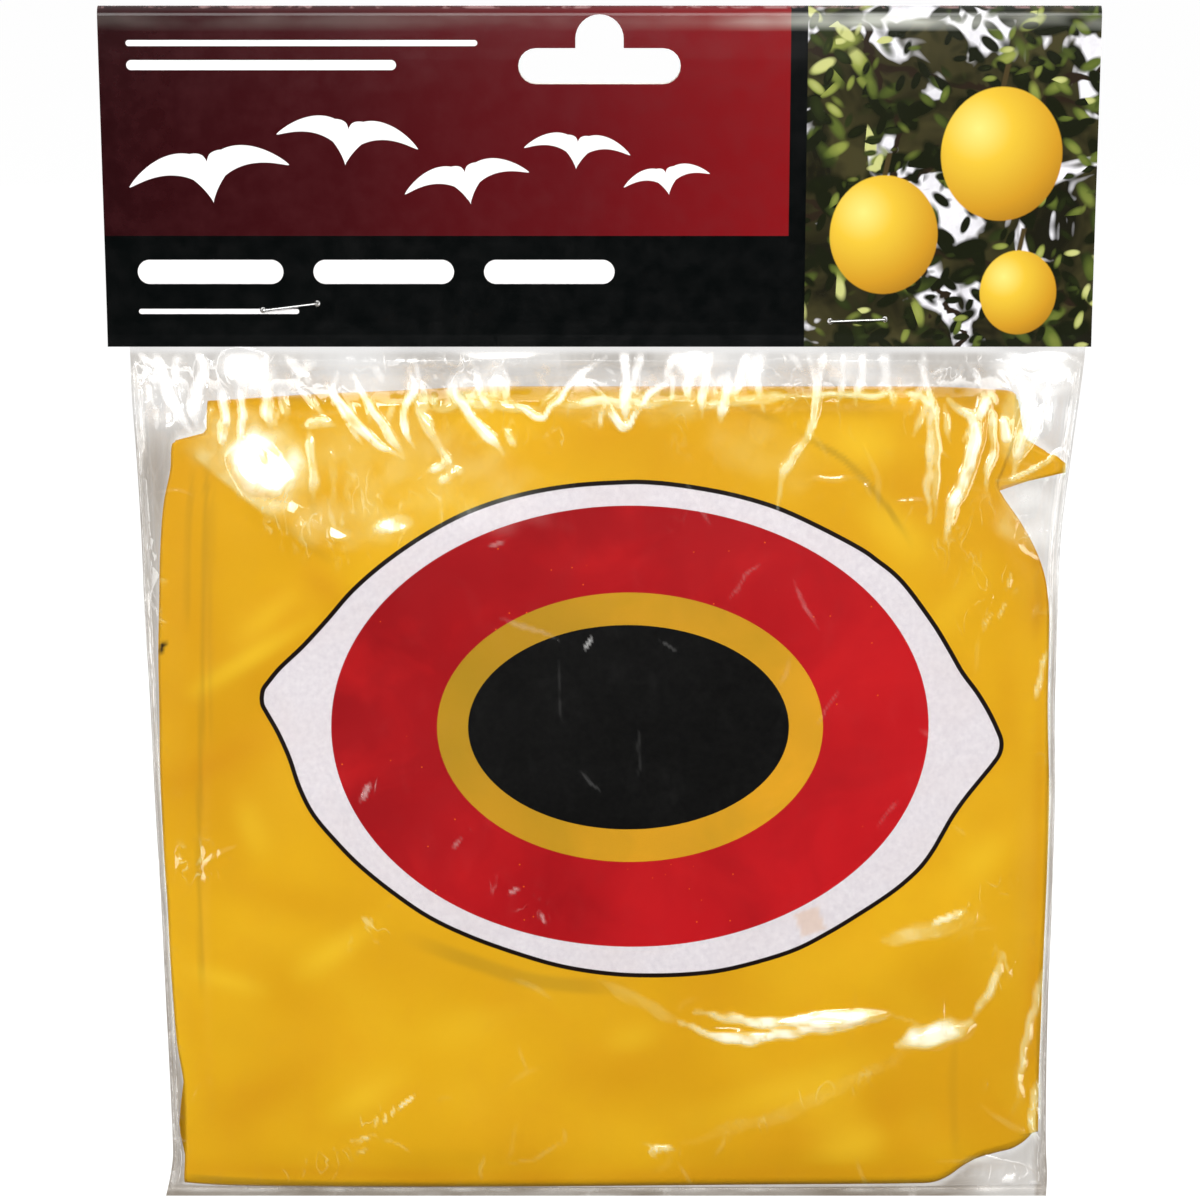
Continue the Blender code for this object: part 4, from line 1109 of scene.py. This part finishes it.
# places where the film lies slanted and catches a lamp: middle, half sizes and turn in the picture, the lamp, and how far
# the film is lifted
GLARES = [
    # in the neck
    ((196, 376), (8, 24), -6, "left", 0.3),
    ((243, 372), (23, 19), 0, "top", 0.3),
    ((498, 386), (8, 14), 0, "top", 0.3),
    ((694, 366), (13, 14), 20, "top", 0.3),
    ((757, 370), (8, 20), 12, "top", 0.3),
    ((1040, 374), (34, 15), -4, "top", 0.4),
    ((1024, 424), (7, 30), 8, "left", 0.4),
    ((975, 440), (8, 34), 14, "left", 0.4),
    # over the ball
    ((264, 470), (33, 24), 28, "low", 1.0),
    ((394, 524), (17, 9), 0, "low", 0.15),
    ((340, 532), (13, 9), 0, "low", 0.1),
    ((935, 1038), (37, 11), -14, "low", 0.35),
    ((822, 1018), (58, 8), -3, "low", 0.3),
    ((718, 1028), (30, 3), 8, "low", 0.2),
]


def glare(x, z, depth, mid, half, turn, lamp, lift, level):
    mx, mz = at(*mid)
    right, up = slant(mx, mz, lamp)
    s = (at(mid[0] + 50, mid[1])[0] - mx) / 50
    c, n = math.cos(math.radians(turn)), math.sin(math.radians(turn))
    a, b = (x - mx) / s, -(z - mz) / s
    p, q = (a * c + b * n) / half[0], (b * c - a * n) / half[1]
    r = np.sqrt(p * p + q * q) + 0.10 * waves(x, z, 3.6, 61)
    mask = 1 - step(0.8, 1.3, r)
    return depth * (1 - mask) + (level + lift + up * (z - mz) + right * (x - mx)) * mask


def crinkles(seed, count):
    r = random.Random(seed)
    out = []
    while len(out) < count:
        x, z = r.uniform(-91, 92), r.uniform(-240, -63)
        near_neck, near_side, near_foot = math.exp((z + 66) / 9.0), math.exp((abs(x) - 92) / 8.0), math.exp((-240 - z) / 8.0)
        if r.random() > 0.02 + 1.1 * near_neck + 0.45 * near_side + 0.35 * near_foot:
            continue
        upright = near_neck > 0.2
        a = math.radians(r.gauss(90, 20) if upright else r.uniform(0, 180))
        l = r.uniform(3, 11) if upright else r.uniform(3, 14)
        bend = r.uniform(-0.25, 0.25)
        mid = (x + math.cos(a + bend) * l * 0.5, z + math.sin(a + bend) * l * 0.5)
        end = (x + math.cos(a + 2 * bend) * l, z + math.sin(a + 2 * bend) * l)
        if max(z, mid[1], end[1]) > -62.8:
            continue
        w = r.uniform(0.6, 1.1) if upright else r.uniform(0.5, 0.9)
        h = w * (r.uniform(0.3, 0.5) if upright else r.uniform(0.1, 0.4))
        whitening_and_highlight = r.uniform(0.15, 0.55) if upright else r.uniform(0.0, 0.10)
        out.append(([(x, z), mid, end], w, h * r.choice((1, 1, -1)), whitening_and_highlight))
    return out


def tight(z):
    """How far inside the bag's side the front wall has come out to the stack."""
    left = np.minimum.reduce([left_edge(z), left_edge(z - 1.0), left_edge(z - 2.0)])
    right = np.maximum.reduce([right_front(z), right_back(z), right_back(z - 1.0), right_back(z - 2.0)])
    room = np.minimum(left - film_left(z), film_right(z) - right)
    return np.clip(room + 0.1, 1.0, 2.1)


def front_base(x, z):
    """Depth of the front wall in front of the middle plane, without creases."""
    lo, hi = film_left(z), film_right(z)
    side, foot = np.minimum(x - lo, hi - x), z - BAG_BOTTOM
    stack = (4.6 - Y_MID) * squeeze(x, z) - Y_MID + 0.9 * front_relief(x, z) + 0.48
    sway = 1.1 * waves(x, 0 * x, 16.0, 51) + 0.5 * waves(x, 0 * x, 5.0, 52) - 0.7
    rise = neck(np.minimum(z + sway * step(-63.8, -65.0, z), -20.0)) / 5.4
    near = 0.35 + 0.15 * waves(z, x * 0, 9.0, 81) * step(0.8, 1.7, tight(z))
    edge = step(near, tight(z), side)
    depth = 0.13 + (np.maximum(stack, 0.5) - 0.13) * np.minimum(np.minimum(rise, edge), step(1.7, 4.2, foot))
    return np.where(z > -64.2, np.minimum(depth, neck(z)), depth)


def front_film(x, z, seed=5, count=110):
    """Depth of the front wall with its creases, and how white it is painted: whitened creases and painted highlights.
    """
    lo, hi = film_left(z), film_right(z)
    side, foot = np.minimum(x - lo, hi - x), z - BAG_BOTTOM
    depth = front_base(x, z)
    for mid, half, turn, lamp, lift in GLARES:
        level = front_base(np.array([at(*mid)[0]]), np.array([at(*mid)[1]]))[0]
        depth = glare(x, z, depth, mid, half, turn, lamp, lift, level)
    relief, white = np.zeros_like(x), np.zeros_like(x)
    wx, wz = x + 0.3 * waves(x, z, 3.5, 71), z + 0.3 * waves(x, z, 3.5, 72)
    for pts, w, h, lean, whitening_and_highlight in CREASES:
        fold(wx, wz, relief, white, smooth_path([at(a, b) for a, b in pts]), w, h, lean, whitening_and_highlight)
    for pts, w, h, whitening_and_highlight in crinkles(seed, count):
        fold(wx, wz, relief, white, smooth_path(pts, 3), w, h, 0.0, whitening_and_highlight, 0.35)
    fleck = 0.5 + 0.5 * waves(x, z, 2.6, 73)
    white = white * np.clip(0.6 + 0.6 * fleck, 0, 1)
    mottle = np.clip(0.8 + 0.4 * waves(x, z, 4.0, 74, 24), 0.45, 1.1)
    # painted highlights over the larger patches
    for mid, half, turn, much in PAINTED_HIGHLIGHT_PATCHES:
        r = patch_radius(wx, wz, mid, half, turn) + 0.12 * waves(x, z, 5.0, 75)
        white = np.maximum(white, much * mottle * (1 - step(0.55, 1.35, r)))
    # the film lies clear below a fold that runs down from the upper left corner
    (ax, az), (bx, bz) = at(160, 433), at(345, 575)
    above = ((x - ax) * (bz - az) - (z - az) * (bx - ax)) / -math.hypot(bx - ax, bz - az)
    white = white * np.maximum(step(-0.9, 0.5, above), np.maximum(step(at(335, 0)[0], at(350, 0)[0], x), step(-86.0, -80.0, z)))
    loose = 0.05 * waves(x, z, 22.0, 31) + 0.015 * waves(x, z, 9.0, 32)
    gathered = step(-61.8, -66.0, z) * (1 - step(-70.0, -80.0, z))
    loose = loose + gathered * 0.22 * waves(x, z * 0.25, 7.5, 41)
    relief = (relief + loose) * step(-62.6, -65.5, z) * step(0.9, 3.0, side) * step(2.2, 5.0, foot)
    depth = depth + np.maximum(relief, -0.3 - 0.9 * step(-76.0, -70.0, z))
    # never behind the front layer, with the ball as it lies or shifted up by 2 mm
    layer = 4.5 * squeeze(x, z) - 0.1 + front_relief(x, z) + 0.2
    up = np.clip((z - 2.1 - top_drop(x) - (STACK_TOP - 4.6)) / 4.75, 0, 1)
    raised = (4.6 * squeeze(x, z - 2.0) * np.sqrt(1 - up * up) - 0.1 + front_relief(x, z - 2.0) * (1 - up * up) + 0.18) * (up < 1)
    over = step(STACK_TOP + 0.5, STACK_TOP - 3.5, z - top_drop(x))
    layer = np.maximum(layer * over, raised) * step(0.3, tight(z) + 0.1, side) * step(1.9, 4.4, foot)
    return np.minimum(np.maximum(depth, layer), 6.75), np.clip(white, 0, 1)


def crumpled(x, z, front):
    """How finely crumpled the film is."""
    wx, wz = x + 0.8 * waves(x, z, 7.0, 95), z + 0.8 * waves(x, z, 7.0, 96)
    out = 0.75 * np.exp(np.minimum(0, -(z + 64.0) * -0.12)) * np.clip(0.5 + 0.9 * waves(x, z, 10.0, 97), 0, 1)
    if front:
        for mid, half, turn, much in CRUMPLED:
            out = np.maximum(out, much * (1 - step(0.3, 1.2, patch_radius(wx, wz, mid, half, turn))))
    else:
        out = np.maximum(out, 0.5 * np.clip(waves(x, z, 26.0, 98) - 0.1, 0, 1))
    side, foot = np.minimum(x - film_left(z), film_right(z) - x), z - BAG_BOTTOM
    out = np.maximum(out, 0.45 * np.exp(-np.maximum(np.minimum(side, foot), 0) / 2.0) * np.clip(0.5 + waves(x, z, 12.0, 99), 0, 1))
    return np.clip(out, 0, 1) * step(-62.0, -63.5, z)


def painted_shade_share(x, z):
    """Painted shade in the film: 1 where the film hangs loose beside and below the ball, and less in the neck."""
    beside = np.maximum(step(0.5, -0.7, x - left_edge(z)), step(0.5, -0.7, np.maximum(right_front(z), right_back(z)) - x) * (1 - 0.6 * step(-122.0, -106.0, z)))
    below = step(0.6, -0.8, z - (STACK_BOTTOM + bottom_rise(x))) * (1 - 0.6 * step(73.0, 84.0, x))
    drop = step(-70.0, -86.0, z)
    top = 0.5 * step(-61.5, -63.0, z) * (1 - step(-70.0, -76.0, z)) * np.clip(0.6 + 0.5 * waves(x, z, 16.0, 93), 0, 1)
    return np.maximum.reduce([beside * drop * (0.7 + 0.15 * step(-120.0, -225.0, z)), below, top])


def over_yellow(x, z):
    """1 where the film lies over plain yellow vinyl."""
    inner = step(-0.8, 0.8, x - left_edge(z)) * step(-0.8, 0.8, np.maximum(right_front(z), right_back(z)) - x)
    inner = inner * step(STACK_TOP + 0.4, STACK_TOP - 0.6, z - top_drop(x)) * step(-0.6, 0.8, z - (STACK_BOTTOM + bottom_rise(x)))
    eye = outline_distance(x, z, [at(u, v) for u, v in EYE_OUTLINE])
    return inner * step(-0.2, 0.8, eye)


def back_film(x, z):
    """Depth of the back wall behind the middle plane, and how white it is painted: whitened creases, partly painted
    highlights.
    """
    lo, hi = film_left(z), film_right(z)
    side, foot = np.minimum(x - lo, hi - x), z - BAG_BOTTOM
    relief, white = np.zeros_like(x), np.zeros_like(x)
    wx, wz = x + 0.3 * waves(x, z, 3.5, 76), z + 0.3 * waves(x, z, 3.5, 77)
    for pts, w, h, whitening_and_highlight in crinkles(9, 230):
        fold(wx, wz, relief, white, smooth_path(pts, 3), 1.15 * w, 1.1 * h, 0.0, whitening_and_highlight, 0.35)
    mottle = np.clip(0.4 + 0.9 * waves(x, z, 14.0, 78), 0, 1)
    white = np.maximum(white * 0.9, 0.14 * mottle * step(-110.0, -70.0, z))
    loose = 0.12 * waves(x, z, 24.0, 37) + 0.03 * waves(x, z, 9.0, 38)
    gathered = step(-61.8, -66.0, z) * (1 - step(-70.0, -84.0, z))
    loose = loose + gathered * 0.3 * waves(x, z * 0.25, 8.5, 42)
    relief = (relief + loose) * step(-62.6, -65.5, z) * step(0.9, 3.0, side) * step(2.2, 5.0, foot)
    depth = np.minimum(np.minimum(back_side(side), back_floor(foot)), back_neck(z))
    return depth + relief, white


def film_side(front):
    """Rows of points for one wall of the bag, from inside the card down to the bottom seam, how white each is painted,
    and how much painted shade it has.
    """
    zs = [-22.0, -35.0, -48.0, -56.0, -59.0] + list(np.arange(-60.4, -64.4, -0.3))
    if front:
        zs += list(np.arange(-64.6, -106.0, -0.42)) + list(np.arange(-106.2, -236.4, -0.64))
    else:
        zs += list(np.arange(-64.6, -236.4, -0.95))
    zs += list(np.arange(-236.6, BAG_BOTTOM + 0.1, -0.35)) + [BAG_BOTTOM]
    d = [0.0, 0.35, 0.6, 0.85, 1.1, 1.35, 1.6, 1.9, 2.3, 2.8, 3.4]
    inner = np.linspace(4.0 / 188.0, 1 - 4.0 / 188.0, 400 if front else 190)
    u = np.array([a / 188.0 for a in d] + list(inner) + [1 - a / 188.0 for a in reversed(d)])[None, :]
    z = np.array(zs)[:, None]
    lo, hi = film_left(z), film_right(z)
    x = lo + (hi - lo) * u
    z = z * np.ones_like(x)
    side = np.minimum(x - lo, hi - x)
    foot = z - BAG_BOTTOM
    depth, white = front_film(x, z) if front else back_film(x, z)
    white = white * step(-61.6, -63.0, z)
    weld = np.maximum((1 - step(0.2, 0.7, np.abs(side - 1.1))) * (z < -61), 1 - step(0.2, 0.7, np.abs(foot - 1.5)))
    white = np.maximum(white, weld * np.clip(0.16 + 0.2 * waves(x, z, 6.0, 79), 0, 1))
    return x, (-depth if front else depth), z, {"film_whitening_and_highlight": white, "painted_shade": painted_shade_share(x, z), "crumple": crumpled(x, z, front),
                                          "over": over_yellow(x, z) if front else 0.0 * x,
                                          "dull": np.maximum(step(-66.6, -64.6, z) * np.clip(0.85 + 0.5 * waves(x, z, 14.0, 94), 0, 1),
                                                             step(-72.6, -71.0, z) * step(-67.6, -68.8, z) * np.clip(0.7 + 0.7 * waves(x, z, 11.0, 98), 0, 0.9))}


for front in (True, False):
    fx, fy, fz, marks = film_side(front)
    wall = grid_object("film_front" if front else "film_back", fx, fy, fz, FILM)
    for key, value in marks.items():
        layer = wall.data.attributes.new(key, "FLOAT", "POINT")
        layer.data.foreach_set("value", value.reshape(-1).astype(np.float32))
    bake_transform(wall)
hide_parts("bag_front_wall", "bag_mouth")
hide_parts("bag_back_wall")

# ---------------------------------------------------------------- floor and light
floor_mat, _, floor_out = new_material("floor")
fx_, fy_, fz_, fvec = coords()
fp = principled(floor_out, Base_Color=mix(soft(noise(fvec, 2.0), 0.3, 0.7), rgb(86, 86, 86), rgb(92, 92, 92)), Roughness=0.8)
fp.inputs["Specular IOR Level"].default_value = 0.1
fp.inputs["Emission Color"].default_value = (1, 1, 1, 1)
fp.inputs["Emission Strength"].default_value = 0.99
bm = bmesh.new()
bmesh.ops.create_grid(bm, x_segments=8, y_segments=8, size=20.0)
mesh = bpy.data.meshes.new("floor")
bm.to_mesh(mesh)
bm.free()
floor = bpy.data.objects.new("floor", mesh)
floor.location = (0, 0, -0.30)
scene.collection.objects.link(floor)
floor.data.materials.append(floor_mat)
# the white floor is seen, but neither lights the film from below nor shows in it
floor.visible_diffuse = floor.visible_glossy = False

world = bpy.data.worlds.new("studio")
world.use_nodes = True
world.node_tree.nodes["Background"].inputs[0].default_value = (1.0, 1.0, 1.0, 1)
world.node_tree.nodes["Background"].inputs[1].default_value = 1.0
world.cycles_visibility.diffuse = world.cycles_visibility.glossy = False
scene.world = world

# what the film mirrors besides the lamps: a pale grey room with a dark opening low in front, where the photographer stands
room_mat, room_tree, room_out = new_material("room")
rx, ry, rz, rvec = coords()
across = calc("ARCTAN2", abs(rx), -ry) * (180 / math.pi)
height = calc("ARCTAN2", rz, root(rx * rx + ry * ry)) * (180 / math.pi)
dark = calc("MULTIPLY", 1.0 - soft(across, 26.0, 60.0), 1.0 - soft(height, -2.0, 8.0))
glow = room_tree.nodes.new("ShaderNodeEmission")
level = calc("MULTIPLY_ADD", 1.0 - dark, 0.36, 0.0)
room_tree.links.new(level.s, glow.inputs["Strength"])
room_tree.links.new(glow.outputs[0], room_out.inputs[0])
bm = bmesh.new()
bmesh.ops.create_icosphere(bm, subdivisions=4, radius=3.0)
mesh = bpy.data.meshes.new("room")
bm.to_mesh(mesh)
bm.free()
room = bpy.data.objects.new("room", mesh)
room.data.materials.append(room_mat)
room.location = (0, 0, AIM_Z * MM)
scene.collection.objects.link(room)
room.visible_camera = room.visible_diffuse = room.visible_shadow = room.visible_transmission = False


def softbox(name, place, width, height, bright):
    """A lamp that faces the pack, with its width and height in m and its brightness per area."""
    away = Vector(place) - Vector((0, 0, AIM_Z))
    data = bpy.data.lights.new(name, "AREA")
    data.shape = "RECTANGLE"
    data.size, data.size_y = width, height
    data.energy = bright * math.pi * width * height
    o = bpy.data.objects.new(name, data)
    o.location = Vector(place) * MM
    o.rotation_mode = "QUATERNION"
    o.rotation_quaternion = away.to_track_quat("Z", "Y")
    o.visible_camera = False
    scene.collection.objects.link(o)
    return o


LAMPS.update(ceiling=(90, 88, 1500), left_fill=(-100, 5, 1600), right_fill=(100, 5, 1600), back_left=(142, 20, 1200),
             back_top=(180, 34, 1200), back_right=(-138, 12, 1200))
for name, width, height, bright in (
        ("low", 0.42, 0.15, 16.0), ("top", 1.50, 0.44, 5.0), ("left", 0.46, 1.50, 4.2), ("right", 0.40, 1.30, 4.8),
        ("ceiling", 2.20, 2.20, 0.5), ("left_fill", 1.00, 1.60, 0.8), ("right_fill", 1.00, 1.60, 0.8),
        ("back_left", 0.50, 1.20, 4.2), ("back_top", 1.30, 0.45, 4.2), ("back_right", 0.34, 1.20, 3.2)):
    softbox(name, lamp_place(name), width, height, bright)
